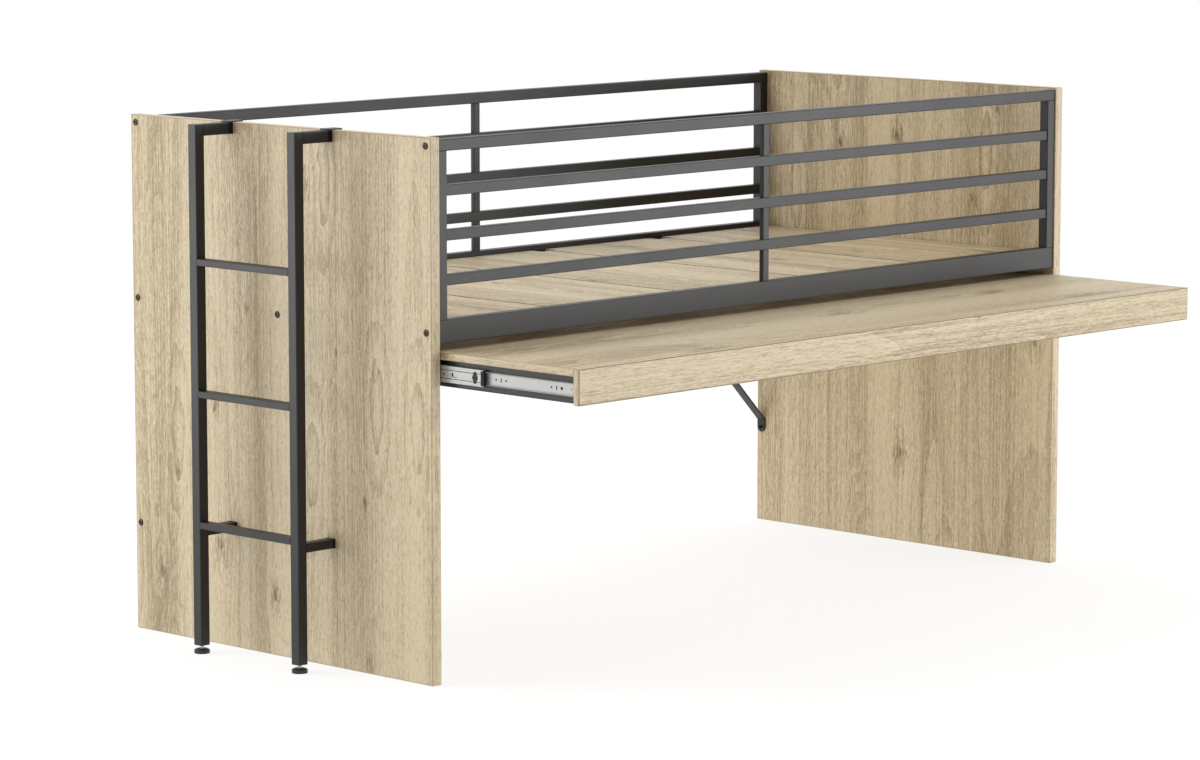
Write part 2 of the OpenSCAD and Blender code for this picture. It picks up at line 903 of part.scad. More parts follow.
module desk_side_rail(side) {
    placed() difference() {
        translate([side * (side_rail_x - side_rail_w / 2), 0, slide_z])
            tube_along_y(fascia_back, desk_depth - desk_t, side_rail_w, side_rail_h);
        rail_screw_holes(side_rail_h);
        slide_side(side) for (y = inner_screw_places()) countersunk_hole(y, slide_gap - inner_t - 0.2, 1);
    }
}

module desk_side_rail_left() {
    color(graphite) desk_side_rail(-1);
}

module desk_side_rail_right() {
    color(graphite) desk_side_rail(1);
}

module desk_rear_rail() {
    color(graphite) placed() difference() {
        translate([0, desk_back - side_rail_w / 2 - 10, desk_under - cross_rail_h / 2])
            tube_along_x(-cross_rail_end, 2 * cross_rail_end, side_rail_w, cross_rail_h);
        rail_screw_holes(cross_rail_h);
    }
}

module desk_centre_rail() {
    y0 = fascia_back + angle_leg;
    color(graphite) placed() difference() {
        translate([0, 0, desk_under - cross_rail_h / 2])
            tube_along_y(y0, desk_back - side_rail_w - 10 - y0, side_rail_w, cross_rail_h);
        rail_screw_holes(cross_rail_h);
    }
}

module fascia_angles() {
    color(zinc) placed() difference() {
        for (x = angle_spots) {
            translate([x - angle_len / 2, fascia_back, desk_under - angle_t]) cube([angle_len, angle_leg, angle_t]);
            translate([x - angle_len / 2, fascia_back, desk_under - angle_leg]) cube([angle_len, angle_t, angle_leg]);
        }
        angle_top_places() cylinder(h = 3 * angle_t, r = desk_screw_r + hole_gap, center = true);
        angle_front_places() cylinder(h = 3 * angle_t, r = desk_screw_r + hole_gap, center = true);
    }
}

module pan_screw() {
    head_t = 2.4;
    translate([0, 0, -head_t]) cylinder(h = head_t, r = 4);
    screw_shank(0);
}

module desk_screws() {
    color(zinc) placed() {
        desk_top_screw_places() translate([0, 0, -tube_wall]) pan_screw();
        angle_top_places() pan_screw();
        angle_front_places() pan_screw();
    }
}

// ---- Ladder ----

// The stiles are closed at the top; the foot plugs close them below
module ladder_stiles() {
    color(graphite) placed() for (y = stile_y) translate([ladder_x + stile_w / 2, y, 0]) {
        tube_along_z(stile_z, panel_h - tube_wall - stile_z, stile_w, stile_w);
        translate([0, 0, panel_h - tube_wall - eps]) linear_extrude(tube_wall + eps) round_rect(stile_w, stile_w, tube_round);
    }
}

module ladder_arms() {
    color(graphite) placed() for (y = stile_y) translate([0, y, panel_h - stile_w / 2]) {
        tube_along_x(stile_back, arm_end - stile_back, stile_w, stile_w);
    }
}

module ladder_rungs() {
    color(graphite) placed() for (i = [0 : rungs - 1]) {
        translate([ladder_x + stile_w / 2, 0, first_rung + i * rung_pitch])
            tube_along_y(stile_y[0] + stile_w / 2, ladder_w, stile_w, rung_h);
    }
}

module ladder_standoffs() {
    color(graphite) placed() for (y = stile_y) translate([0, y, standoff_z]) {
        tube_along_x(stile_back, standoff_end - stile_back, stile_w, standoff_h);
    }
}

// Plates over the top of the panel, with a lip behind it
module ladder_hooks() {
    reach = top_pad_t + panel_t + hook_gap + hook_t;
    color(graphite) placed() for (y = stile_y) {
        translate([arm_end, y - stile_w / 2, panel_h]) cube([reach, stile_w, hook_t]);
        translate([-inner_x + hook_gap, y - stile_w / 2, panel_h - hook_lip])
            cube([hook_t, stile_w, hook_lip + hook_t]);
    }
}

// A spacer on each arm and a rubber pad on each standoff, both with a spigot in the tube
module ladder_pads() {
    spigot = 10;
    side = stile_w - 2 * tube_wall - 0.4;
    low = standoff_h - 2 * tube_wall - 0.4;
    color(black) placed() for (y = stile_y) {
        translate([arm_end, y - stile_w / 2, panel_h - stile_w]) cube([top_pad_t - pad_gap, stile_w, stile_w]);
        translate([arm_end - spigot, y - side / 2, panel_h - stile_w / 2 - side / 2]) cube([spigot + eps, side, side]);
        translate([standoff_end, y - stile_w / 2, standoff_z - standoff_h / 2])
            cube([low_pad_t - pad_gap, stile_w, standoff_h]);
        translate([standoff_end - spigot, y - side / 2, standoff_z - low / 2]) cube([spigot + eps, side, low]);
    }
}

// ---- Levelling feet ----

module foot_plugs() {
    side = stile_w - 2 * tube_wall - 2 * plug_gap;
    color(black) placed() for (y = stile_y) translate([ladder_x + stile_w / 2, y, 0]) difference() {
        union() {
            translate([0, 0, stile_z - plug_flange]) linear_extrude(plug_flange) round_rect(stile_w, stile_w, tube_round);
            translate([-side / 2, -side / 2, stile_z - eps]) cube([side, side, plug_len]);
        }
        translate([0, 0, stile_z - plug_flange - 1]) cylinder(h = plug_len + plug_flange + 2, r = stem_r + thread_gap);
    }
}

// Round pad with a sloping upper edge, hollow for the stem's hexagon
module foot_pad(y) {
    slope = 2.5;
    placed() translate([ladder_x + stile_w / 2, y, 0]) rotate_extrude() polygon([
        [0, 0], [foot_r, 0], [foot_r, foot_h - slope], [foot_r - 2 * slope, foot_h], [stem_r, foot_h],
        [stem_r, foot_h / 2], [0, foot_h / 2]
    ]);
}

module foot_pad_front() {
    color(black) foot_pad(stile_y[0]);
}

module foot_pad_rear() {
    color(black) foot_pad(stile_y[1]);
}

module foot_stem(y) {
    placed() translate([ladder_x + stile_w / 2, y, foot_h / 2]) cylinder(h = stile_z + plug_len - 12 - foot_h / 2, r = stem_r);
}

module foot_stem_front() {
    color(zinc) foot_stem(stile_y[0]);
}

module foot_stem_rear() {
    color(zinc) foot_stem(stile_y[1]);
}

ladder_end_panel();
far_end_panel();
front_top_rail();
front_mid_rails();
front_bottom_rail();
rear_top_rail();
rear_mid_rails();
rear_bottom_rail();
guard_end_posts();
guard_centre_posts();
rail_end_nuts();
bearer_saddles();
cross_bearers();
deck_board_1();
deck_board_2();
deck_board_3();
deck_board_4();
deck_board_5();
rear_braces();
brace_screws();
panel_bolts();
slide_outer_left();
slide_outer_right();
slide_outer_screws();
desk_top();
desk_fascia();
desk_side_rail_left();
desk_side_rail_right();
desk_rear_rail();
desk_centre_rail();
fascia_angles();
desk_screws();
slide_inner_left();
slide_inner_right();
slide_inner_screws();
slide_middle_left();
slide_middle_right();
slide_bumper_left();
slide_bumper_right();
slide_latch_left();
slide_latch_right();
outer_cage_left();
outer_cage_right();
inner_cage_left();
inner_cage_right();
outer_balls_left();
outer_balls_right();
inner_balls_left();
inner_balls_right();
ladder_stiles();
ladder_arms();
ladder_rungs();
ladder_standoffs();
ladder_hooks();
ladder_pads();
foot_plugs();
foot_pad_front();
foot_pad_rear();
foot_stem_front();
foot_stem_rear();
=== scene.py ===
"""Cabin bed with a pull-out desk and a hook-on ladder: boards, fasteners, rails and finishes.

Lengths are in metres. +X runs along the bed to the far end, -Y is the desk side, +Z is up.
"""

import math
from functools import partial

import bmesh
import bpy
from bpy.props import FloatProperty, FloatVectorProperty, IntProperty, PointerProperty
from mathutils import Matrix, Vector


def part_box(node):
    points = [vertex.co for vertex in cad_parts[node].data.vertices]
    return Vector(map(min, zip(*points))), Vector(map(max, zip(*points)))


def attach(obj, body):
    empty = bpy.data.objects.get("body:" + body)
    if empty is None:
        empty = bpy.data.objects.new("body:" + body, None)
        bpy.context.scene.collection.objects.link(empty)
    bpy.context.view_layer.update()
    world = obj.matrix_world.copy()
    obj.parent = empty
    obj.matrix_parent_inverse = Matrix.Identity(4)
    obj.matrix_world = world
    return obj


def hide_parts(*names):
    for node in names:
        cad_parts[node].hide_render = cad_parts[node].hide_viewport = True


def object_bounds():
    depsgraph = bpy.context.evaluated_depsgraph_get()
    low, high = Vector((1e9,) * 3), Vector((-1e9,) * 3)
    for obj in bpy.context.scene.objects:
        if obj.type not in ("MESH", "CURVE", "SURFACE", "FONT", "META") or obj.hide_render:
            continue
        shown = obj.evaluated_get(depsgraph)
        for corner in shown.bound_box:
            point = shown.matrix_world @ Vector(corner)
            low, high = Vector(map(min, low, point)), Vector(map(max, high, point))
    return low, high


bl_info = {
    "name": "Cabin Bed",
    "version": (1, 0, 0),
    "blender": (4, 5, 0),
    "location": "3D View > Sidebar > Cabin Bed",
    "description": "Builds the boards, rails, fasteners and finishes of a cabin bed",
    "category": "Object",
}

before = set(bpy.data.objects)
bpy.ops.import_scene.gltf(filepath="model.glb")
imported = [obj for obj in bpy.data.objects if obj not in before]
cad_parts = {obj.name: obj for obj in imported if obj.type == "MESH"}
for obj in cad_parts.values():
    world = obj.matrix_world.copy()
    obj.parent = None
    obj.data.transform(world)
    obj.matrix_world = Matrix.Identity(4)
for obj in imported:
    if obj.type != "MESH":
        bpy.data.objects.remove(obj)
CAD_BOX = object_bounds()

MM = 0.001
X, Y, Z = 0, 1, 2
WHITE = (1.0, 1.0, 1.0, 1.0)


def srgb(red, green, blue):
    """Linear colour of an sRGB triple from 0 to 255."""
    return tuple(
        c / 12.92 if c <= 0.04045 else ((c + 0.055) / 1.055) ** 2.4
        for c in (red / 255, green / 255, blue / 255)
    )


def opaque(colour, brightness=1.0):
    """A colour, made brighter or duller, as the four numbers that a node socket takes."""
    return (*(part * brightness for part in colour[:3]), 1.0)


# ---- Settings that a user would change ----


def colour_setting(name, description, rgb):
    return FloatVectorProperty(
        name=name,
        description=description,
        default=srgb(*rgb),
        size=3,
        min=0.0,
        max=1.0,
        subtype="COLOR",
    )


def number_setting(name, description, default, low=0.0, high=1.0, **kind):
    """kind is the unit, the subtype or the precision of the number, where they fit."""
    limits = {"min": low, "max": high}
    return FloatProperty(name=name, description=description, default=default, **limits, **kind)


length_setting = partial(number_setting, precision=4, unit="LENGTH")
angle_setting = partial(number_setting, low=-math.pi, high=math.pi, subtype="ANGLE")
share_setting = partial(number_setting, subtype="FACTOR")
count_setting = partial(number_setting, high=100.0)
light_setting = partial(number_setting, high=2.0)
power_setting = partial(number_setting, high=2000.0, unit="POWER")


class OakSettings(bpy.types.PropertyGroup):
    """Decor of the oak-look boards."""

    light: colour_setting("Light", "Palest earlywood", (226, 209, 174))
    mid: colour_setting("Middle", "Main tone of the boards", (203, 184, 149))
    dark: colour_setting("Dark", "Darkest bands and ring lines", (166, 146, 112))
    pore: colour_setting("Pores", "Short dark dashes along the grain", (138, 118, 88))
    knot: colour_setting("Knots", "Heart of a knot", (98, 80, 58))
    seam: colour_setting("Edge line", "Line along the edges of a board", (158, 139, 107))
    glue: colour_setting("Glue line", "Line round the desk's front board", (104, 84, 58))
    # Painted shade: this colour darkens the rounded edges and edge rims of the deck boards,
    # standing in for the shadow in the narrow gaps between them
    joint: colour_setting("Painted joint shade", "Edges of the deck boards at their joints", (44, 35, 25))
    band_width: length_setting("Band width", "Typical width of a paler or darker band", 0.1)
    band_count: count_setting("Edged bands", "Bands with one crisp edge in the broad figure", 5.0)
    ring_count: count_setting("Growth rings", "Rings over the range of the fine figure", 26.0)
    knot_step: length_setting("Knot step", "Typical distance between knots across the grain", 0.2)
    arch_step: length_setting("Arch step", "Typical distance between patches of nested rings", 0.15)
    roughness: share_setting("Roughness", "Sheen of the melamine face", 0.5)


class BoardSettings(bpy.types.PropertyGroup):
    """Edges of the boards."""

    edge_round: length_setting("Edge radius", "Rounding of the edge bands", 0.8 * MM)
    edge_band: length_setting("Edge band", "Width of the edge line on each face", 1.6 * MM)


class CoatSettings(bpy.types.PropertyGroup):
    """Powder coat on the steel tubes."""

    frame_colour: colour_setting("Frame", "Coat of the guards and the braces", (18, 18, 19))
    ladder_colour: colour_setting("Ladder", "Coat of the ladder", (18, 18, 19))
    grain: length_setting("Grain", "Size of the fine texture of the coat", 0.9 * MM)
    roughness: share_setting("Roughness", "Sheen of the coat", 0.42)


class RailSettings(bpy.types.PropertyGroup):
    """Middle rails of the guards and rungs of the ladder."""

    corner: length_setting("Corner", "Outer corner radius of a tube", 1.5 * MM)
    wall: length_setting("Wall", "Wall of a tube", 1.5 * MM)
    rail_height: length_setting("Rail height", "Height of a middle rail", 0.023)
    rung_height: length_setting("Rung height", "Height of a rung", 0.015)
    count: IntProperty(
        name="Count",
        description="Rails in a guard, rungs in the ladder",
        default=3,
        min=2,
    )


class FastenerSettings(bpy.types.PropertyGroup):
    """Heads of the bolts and screws."""

    bolt_shank: length_setting("Bolt shank", "Radius of a panel bolt", 3.0 * MM)
    socket_flats: length_setting("Socket", "Width across the flats of the socket", 5.0 * MM)
    socket_depth: length_setting("Socket depth", "Depth of the hexagon socket", 1.9 * MM)
    screw_shank: length_setting("Screw shank", "Radius of a small screw", 1.75 * MM)
    cross_reach: length_setting("Cross reach", "Half length of an arm of the recess", 2.0 * MM)
    cross_width: length_setting("Cross width", "Half width of an arm of the recess", 0.5 * MM)


class StageSettings(bpy.types.PropertyGroup):
    """Camera, lamps and floor."""

    eye: FloatVectorProperty(
        name="Eye",
        description="Place of the camera",
        default=(-7.4126, -6.9679, 1.8951),
        size=3,
        subtype="TRANSLATION",
        unit="LENGTH",
    )
    yaw: angle_setting("Yaw", "Direction of view about the vertical", math.radians(44.026))
    pitch: angle_setting("Pitch", "Downward tilt of the view", math.radians(7.668))
    lens: number_setting("Lens", "Focal length on a 36 mm sensor", 135.32, 20, 300, unit="CAMERA")
    even_light: light_setting("Even light", "Strength of the light from all round", 0.15)
    far_light: light_setting("Far light", "Strength of the light from the far end", 0.66)
    rear_light: light_setting("Rear light", "Strength of the light from the rear side", 0.64)
    sky_light: light_setting("Sky light", "Strength of the light from above", 0.62)
    bounce: light_setting("Bounce", "Strength of the light from below", 1.14)
    key_power: power_setting("Key", "Power of the high lamp on the ladder side", 49.0)
    ladder_power: power_setting("Ladder side", "Power of the low lamp on that side", 23.0)
    desk_power: power_setting("Desk side", "Power of the low lamp on that side", 190.0)
    floor_size: length_setting("Floor", "Side of the square floor", 120.0, 1.0, 1000.0)
    floor_colour: colour_setting("Floor colour", "Colour of the floor", (140, 140, 140))


# ---- Shader and geometry trees ----

# Sockets of the Mix node that carry colours
MIX_FIRST = 6
MIX_SECOND = 7
MIX_RESULT = 2
# Middle of a noise, whose values lie between 0 and 1
MEAN = 0.5


class Val:
    """The output of a node, as a value that takes part in Python arithmetic."""

    def __init__(self, tree, socket):
        self.tree = tree
        self.socket = socket

    def also(self, output):
        """Another output of the same node."""
        return Val(self.tree, self.socket.node.outputs[output])

    def __add__(self, other):
        return self.tree.math("ADD", self, other)

    __radd__ = __add__

    def __sub__(self, other):
        return self.tree.math("SUBTRACT", self, other)

    def __rsub__(self, other):
        return self.tree.math("SUBTRACT", other, self)

    def __mul__(self, other):
        return self.tree.math("MULTIPLY", self, other)

    def __truediv__(self, other):
        return self.tree.math("DIVIDE", self, other)

    def __pow__(self, other):
        return self.tree.math("POWER", self, other)


class Tree:
    """A node tree, filled one node at a time."""

    def __init__(self, nodes):
        self.nodes = nodes

    def node(self, kind, settings, inputs, output=0):
        """Adds a node: its settings first, then the values or links of its sockets."""
        made = self.nodes.nodes.new(kind)
        for name, value in settings.items():
            if name == "stops":
                self.set_stops(made.color_ramp, value)
            else:
                setattr(made, name, value)
        for name, value in inputs.items():
            for part in value if isinstance(value, list) else [value]:
                if isinstance(part, Val):
                    self.nodes.links.new(part.socket, made.inputs[name])
                else:
                    made.inputs[name].default_value = part
        return Val(self, made.outputs[output]) if len(made.outputs) else None

    @staticmethod
    def set_stops(ramp, stops):
        """stops are (position, colour) pairs in rising order."""
        while len(ramp.elements) < len(stops):
            ramp.elements.new(1.0)
        for element, (position, colour) in zip(ramp.elements, stops):
            element.position = position
            element.color = colour

    def math(self, operation, *values):
        return self.node("ShaderNodeMath", {"operation": operation}, dict(enumerate(values)))

    def vector(self, x, y, z):
        return self.node("ShaderNodeCombineXYZ", {}, {0: x, 1: y, 2: z})

    def split(self, vector):
        """The three parts of a vector."""
        first = self.node("ShaderNodeSeparateXYZ", {}, {0: vector})
        return first, first.also(1), first.also(2)

    def noise(self, vector, scale=1.0, detail=2.0, roughness=0.5):
        """Noise from 0 to 1, with about scale waves per unit of the vector."""
        inputs = {"Vector": vector, "Scale": scale, "Detail": detail, "Roughness": roughness}
        return self.node("ShaderNodeTexNoise", {}, inputs)

    def rise(self, value, low, high, start=0.0, end=1.0):
        """Smooth change from start to end while value goes from low to high."""
        settings = {"interpolation_type": "SMOOTHSTEP"}
        inputs = {0: value, 1: low, 2: high, 3: start, 4: end}
        return self.node("ShaderNodeMapRange", settings, inputs)

    def fall(self, value, low, high):
        """Smooth change from 1 to 0 while value goes from low to high."""
        return self.rise(value, low, high, 1.0, 0.0)

    def around(self, middle, noise, spread):
        """A value that a noise moves to both sides of its middle."""
        return (noise - MEAN) * spread + middle

    def mix(self, factor, first, second):
        """Blend of two colours."""
        inputs = {0: factor, MIX_FIRST: first, MIX_SECOND: second}
        return self.node("ShaderNodeMix", {"data_type": "RGBA"}, inputs, MIX_RESULT)


class Shade(Tree):
    """The tree of a material."""

    def __init__(self, name):
        self.material = bpy.data.materials.new(name)
        self.material.use_nodes = True
        super().__init__(self.material.node_tree)
        self.nodes.nodes.clear()

    def place(self):
        """Place on the object, in metres."""
        return self.node("ShaderNodeTexCoord", {}, {}, "Object")

    def bump(self, height, depth, strength):
        inputs = {"Height": height, "Distance": depth, "Strength": strength}
        return self.node("ShaderNodeBump", {}, inputs)

    def finish(self, **sockets):
        """Ends the tree in a Principled shader, whose sockets are named with underscores."""
        inputs = {name.replace("_", " "): value for name, value in sockets.items()}
        surface = self.node("ShaderNodeBsdfPrincipled", {}, inputs)
        self.node("ShaderNodeOutputMaterial", {}, {"Surface": surface})
        return self.material


class Growth(Tree):
    """A geometry tree with named inputs."""

    def __init__(self, name, sockets):
        super().__init__(bpy.data.node_groups.new(name, "GeometryNodeTree"))
        ports = self.nodes.interface
        for socket, kind in sockets.items():
            ports.new_socket(socket, in_out="INPUT", socket_type="NodeSocket" + kind)
        ports.new_socket("Geometry", in_out="OUTPUT", socket_type="NodeSocketGeometry")
        self.first = self.node("NodeGroupInput", {}, {})

    def given(self, name):
        """One of the inputs."""
        return self.first.also(name)

    def join(self, *parts):
        return self.node("GeometryNodeJoinGeometry", {}, {"Geometry": list(parts)})

    def finish(self, points, shape, **turned):
        """Ends the tree with the shape on every point, made real, in the finish that is given."""
        spread = {"Points": points, "Instance": shape, **turned}
        placed = self.node("GeometryNodeInstanceOnPoints", {}, spread)
        solid = self.node("GeometryNodeRealizeInstances", {}, {"Geometry": placed})
        dressed = {"Geometry": solid, "Material": self.given("Finish")}
        painted = self.node("GeometryNodeSetMaterial", {}, dressed)
        self.node("NodeGroupOutput", {}, {0: painted})
        return self.nodes


def grown(name, start, group, values):
    """The plain mesh that a geometry tree makes from a start mesh and its named inputs."""
    host = bpy.data.objects.new(name + "_host", start)
    bpy.context.scene.collection.objects.link(host)
    modifier = host.modifiers.new(group.name, "NODES")
    modifier.node_group = group
    for item in group.interface.items_tree:
        if item.in_out == "INPUT" and item.name in values:
            modifier[item.identifier] = values[item.name]
    depsgraph = bpy.context.evaluated_depsgraph_get()
    mesh = bpy.data.meshes.new_from_object(host.evaluated_get(depsgraph))
    mesh.name = name
    bpy.data.objects.remove(host)
    return mesh


# ---- Pieces ----

# A face whose normal has a part above this lies square to an axis
SQUARE_ON = 0.999
# Edges that turn by more than this stay sharp
SHARP_TURN = math.radians(35)


def hang(mesh, body, node):
    """Puts a finished mesh in the scene as the piece that stands for a CAD node."""
    mesh.shade_smooth()
    mesh.set_sharp_from_angle(angle=SHARP_TURN)
    for face in mesh.polygons:
        face.use_smooth = max(abs(part) for part in face.normal) < SQUARE_ON
    piece = bpy.data.objects.new(mesh.name, mesh)
    bpy.context.scene.collection.objects.link(piece)
    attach(piece, body)
    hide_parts(node)


def dress(finish, *nodes):
    """Gives CAD nodes a material."""
    for name in nodes:
        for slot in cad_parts[name].material_slots:
            slot.material = finish


# ---- Oak boards ----

GRAIN = "grain"
# Grain space moves on by this from one board to the next, so that no two look alike
GRAIN_SHIFT = (0.37, 1.93, 0.71)
ROUND_STEPS = 3
ROUND_PROFILE = 0.5

# Patterns of the decor: waves per metre across and along the grain, and a shift of their own
WAVES = {
    "wobble": (60, 22, 2.2),
    "stripes": (52, 0.6, 9.1),
    "broad figure": (4.2, 0.28, 4.4),
    "fine figure": (9.5, 1.4, 8.3),
    "ring areas": (6, 1.3, 21.7),
    "lines": (300, 1.7, 0),
    "dashes": (380, 36, 3.1),
    "fibre": (520, 120, 5.7),
    "pores": (800, 60, 1.7),
}
BAND_WAVES_ALONG = 0.3
FIGURE_ROUGHNESS = 0.4
# Bands and rings darken up to an edge: the power of that rise, and its mean, which is taken off
BAND_RISE = (2.0, 0.33)
RING_RISE = (1.6, 0.38)
# Values of a pattern between which rings, pores and flecks come up
RINGS_SHOW = (0.52, 0.66)
PORES_SHOW = (0.58, 0.68)
FLECKS_SHOW = (0.0, 0.12)

# Knots and patches of nested rings lie in cells: how many along the grain for one across it,
# the share of the cells in use, and a shift
KNOT_CELLS = (0.5, 0.7, 0.3)
ARCH_CELLS = (0.22, 0.55, 7.4)
# Least size of a knot and how much larger the largest is, in cells
KNOT_SIZES = (0.3, 1.3)
# Distances between which halo, core and parting of the grain fade, in sizes of the knot
KNOT_HALO = (0.01, 0.13)
KNOT_CORE = (0.0, 0.04)
KNOT_PARTING = (0.0, 0.3)
# How far the grain parts round a knot, in metres at one cell aside
KNOT_PUSH = 0.1
KNOT_WOBBLE = 0.1
# Rings in a cell of the patches, how much they waver, and where they fade
ARCH_RINGS = 7.0
ARCH_WOBBLE = 0.8
ARCH_FADE = (0.1, 0.5)

# What each pattern adds to the tone, which is 0 for the palest wood and 1 for the darkest
TONE = {
    "bands": 1.7,
    "stripes": 0.45,
    "edged bands": 0.34,
    "rings": 0.3,
    "halo": 0.4,
    "arches": 0.8,
    "lines": 1.25,
    "dashes": 1.1,
    "fibre": 1.25,
}
TONE_LEVEL = 0.38
# Tones at which the three colours of the wood stand
TONE_STOPS = (0.0, 0.48, 1.0)
# Share of the pore colour in a pore, and of the knot colour in a knot's flecks and core
PORE_COLOUR = 0.45
KNOT_COLOUR = {"flecks": 0.5, "core": 0.55}
# What the patterns add to the height and to the roughness of the face
RELIEF = {"dashes": 1.0, "fibre": 0.6, "pores": -0.8, "core": -1.0}
RELIEF_DEPTH = 0.12 * MM
RELIEF_STRENGTH = 0.35
SHEEN = {"fibre": 0.2, "dashes": 0.15}
# Speckle of the edge line: its waves per metre, and the roughness at its two ends
SEAM_WAVES = 900.0
SEAM_ROUGHNESS = (0.45, 0.65)


class OakDecor(Shade):
    """Oak-look decor, read in grain space: across, along and through the board. paler is
    taken off its tone, and longer stretches its figure along the grain."""

    def __init__(self, name, oak, paler=0.0, longer=1.0):
        super().__init__(name)
        self.oak = oak
        self.level = TONE_LEVEL - paler
        grain = self.node("ShaderNodeAttribute", {"attribute_name": GRAIN}, {}, "Vector")
        self.across, along, self.through = self.split(grain)
        self.along = along / longer

    def stretched(self, across, along, shift=0.0):
        """Grain space at so many waves per metre across and along."""
        return self.vector(self.across * across + shift, self.along * along, self.through)

    def pattern(self, name, detail=1, roughness=0.5):
        """Noise with the waves of that name."""
        return self.noise(self.stretched(*WAVES[name]), 1.0, detail, roughness)

    def saw(self, value, power, mean):
        """Rises anew from each whole number to the next, less its mean."""
        return self.math("FRACT", value) ** power - mean

    def scattered(self, step, slender, share, shift):
        """Cells a step wide: the distance from the nearest middle and if that cell is used."""
        inputs = {"Vector": self.stretched(1 / step, 1 / step * slender, shift), "Scale": 1.0}
        far = self.node("ShaderNodeTexVoronoi", {"voronoi_dimensions": "2D"}, inputs)
        chance, _, _ = self.split(far.also("Color"))
        return far, self.math("GREATER_THAN", chance, 1 - share)

    def knots(self):
        """Distance from the nearest knot, in sizes of it, how far aside, and if it is used."""
        slender, share, shift = KNOT_CELLS
        far, used = self.scattered(self.oak.knot_step, slender, share, shift)
        middle, _, _ = self.split(far.also("Position"))
        aside = self.across * (1 / self.oak.knot_step) + shift - middle
        _, size, _ = self.split(far.also("Color"))
        least, more = KNOT_SIZES
        return far / (size * size * more + least), aside, used

    def arches(self, wobble):
        """Rings nested round long narrow patches, as where a board was cut flat."""
        far, used = self.scattered(self.oak.arch_step, *ARCH_CELLS)
        rings = self.saw(far * ARCH_RINGS + wobble * ARCH_WOBBLE, *RING_RISE)
        return rings * self.fall(far, *ARCH_FADE) * used

    def patterns(self):
        """Every pattern by its name. Grain space parts round the knots before the others."""
        far, aside, used = self.knots()
        wobble = self.pattern("wobble", 2) - MEAN
        outline = far + wobble * KNOT_WOBBLE
        found = {
            "halo": self.fall(outline, *KNOT_HALO) * used,
            "core": self.fall(outline, *KNOT_CORE) * used,
        }
        parting = self.fall(far, *KNOT_PARTING) * used
        self.across = self.across - aside * parting * KNOT_PUSH

        bands = self.stretched(1 / self.oak.band_width, BAND_WAVES_ALONG)
        found["bands"] = self.noise(bands, detail=1) - MEAN
        broad = self.pattern("broad figure") * self.oak.band_count
        found["edged bands"] = self.saw(broad, *BAND_RISE)
        fine = self.pattern("fine figure", roughness=FIGURE_ROUGHNESS) * self.oak.ring_count
        shown = self.rise(self.pattern("ring areas", 0), *RINGS_SHOW)
        found["rings"] = self.saw(fine, *RING_RISE) * shown
        found["arches"] = self.arches(wobble)
        for name in ("stripes", "lines", "dashes", "fibre"):
            found[name] = self.pattern(name) - MEAN
        found["pores"] = self.rise(self.pattern("pores"), *PORES_SHOW)
        found["flecks"] = self.rise(found["dashes"], *FLECKS_SHOW) * found["halo"]
        return found

    def build(self):
        oak = self.oak
        found = self.patterns()

        def blend(shares):
            """Sum of the patterns, each at its share."""
            return sum(found[name] * share for name, share in shares.items())

        tone = blend(TONE) + self.level
        tones = opaque(oak.light), opaque(oak.mid), opaque(oak.dark)
        stops = list(zip(TONE_STOPS, tones))
        colour = self.node("ShaderNodeValToRGB", {"stops": stops}, {0: tone}, "Color")
        colour = self.mix(found["pores"] * PORE_COLOUR, colour, opaque(oak.pore))
        return self.finish(
            Base_Color=self.mix(blend(KNOT_COLOUR), colour, opaque(oak.knot)),
            Roughness=blend(SHEEN) + oak.roughness,
            Normal=self.bump(blend(RELIEF), RELIEF_DEPTH, RELIEF_STRENGTH),
        )


def seam_finish(name, low, high):
    """Glue line and rounded band edge that frame each face of a board, between two colours; on the
    deck boards it is painted shade of the gaps between them.
    """
    shade = Shade(name)
    speckle = shade.noise(shade.place(), SEAM_WAVES)
    colour = shade.mix(speckle, opaque(low), opaque(high))
    smooth, rough = SEAM_ROUGHNESS
    return shade.finish(Base_Color=colour, Roughness=speckle * (rough - smooth) + smooth)


def slab(outline, thickness, boards):
    """A board in its own plane: a prism with rounded edges and a narrow rim on its big faces."""
    shape = bmesh.new()
    corners = [shape.verts.new((x, y, 0)) for x, y in outline]
    face = shape.faces.new(corners)
    pushed = bmesh.ops.extrude_face_region(shape, geom=[face])["geom"]
    raised = [part for part in pushed if isinstance(part, bmesh.types.BMVert)]
    bmesh.ops.translate(shape, verts=raised, vec=(0, 0, thickness))
    bmesh.ops.bevel(
        shape,
        geom=shape.edges[:],
        offset=boards.edge_round,
        segments=ROUND_STEPS,
        profile=ROUND_PROFILE,
        affect="EDGES",
    )
    shape.normal_update()
    for face in shape.faces:
        face.material_index = int(max(abs(part) for part in face.normal) < SQUARE_ON)
    big = [f for f in shape.faces if abs(f.normal.z) > SQUARE_ON and f.calc_area() > thickness**2]
    rims = bmesh.ops.inset_individual(shape, faces=big, thickness=boards.edge_band)["faces"]
    for rim in rims:
        rim.material_index = 1
    bmesh.ops.recalc_face_normals(shape, faces=shape.faces)
    return shape


def write_grain(shape, shift):
    """Grain space at each face corner. The slab lies with its grain along Y."""
    layer = shape.loops.layers.float_vector.new(GRAIN)
    for face in shape.faces:
        across, along, through = (abs(part) for part in face.normal)
        for loop in face.loops:
            x, y, z = loop.vert.co
            if through >= max(across, along):
                place = (x, y, z)
            elif across >= along:
                place = (z + x, y, 0)
            else:
                place = (z + y, x, 0)
            loop[layer] = Vector(place) + shift


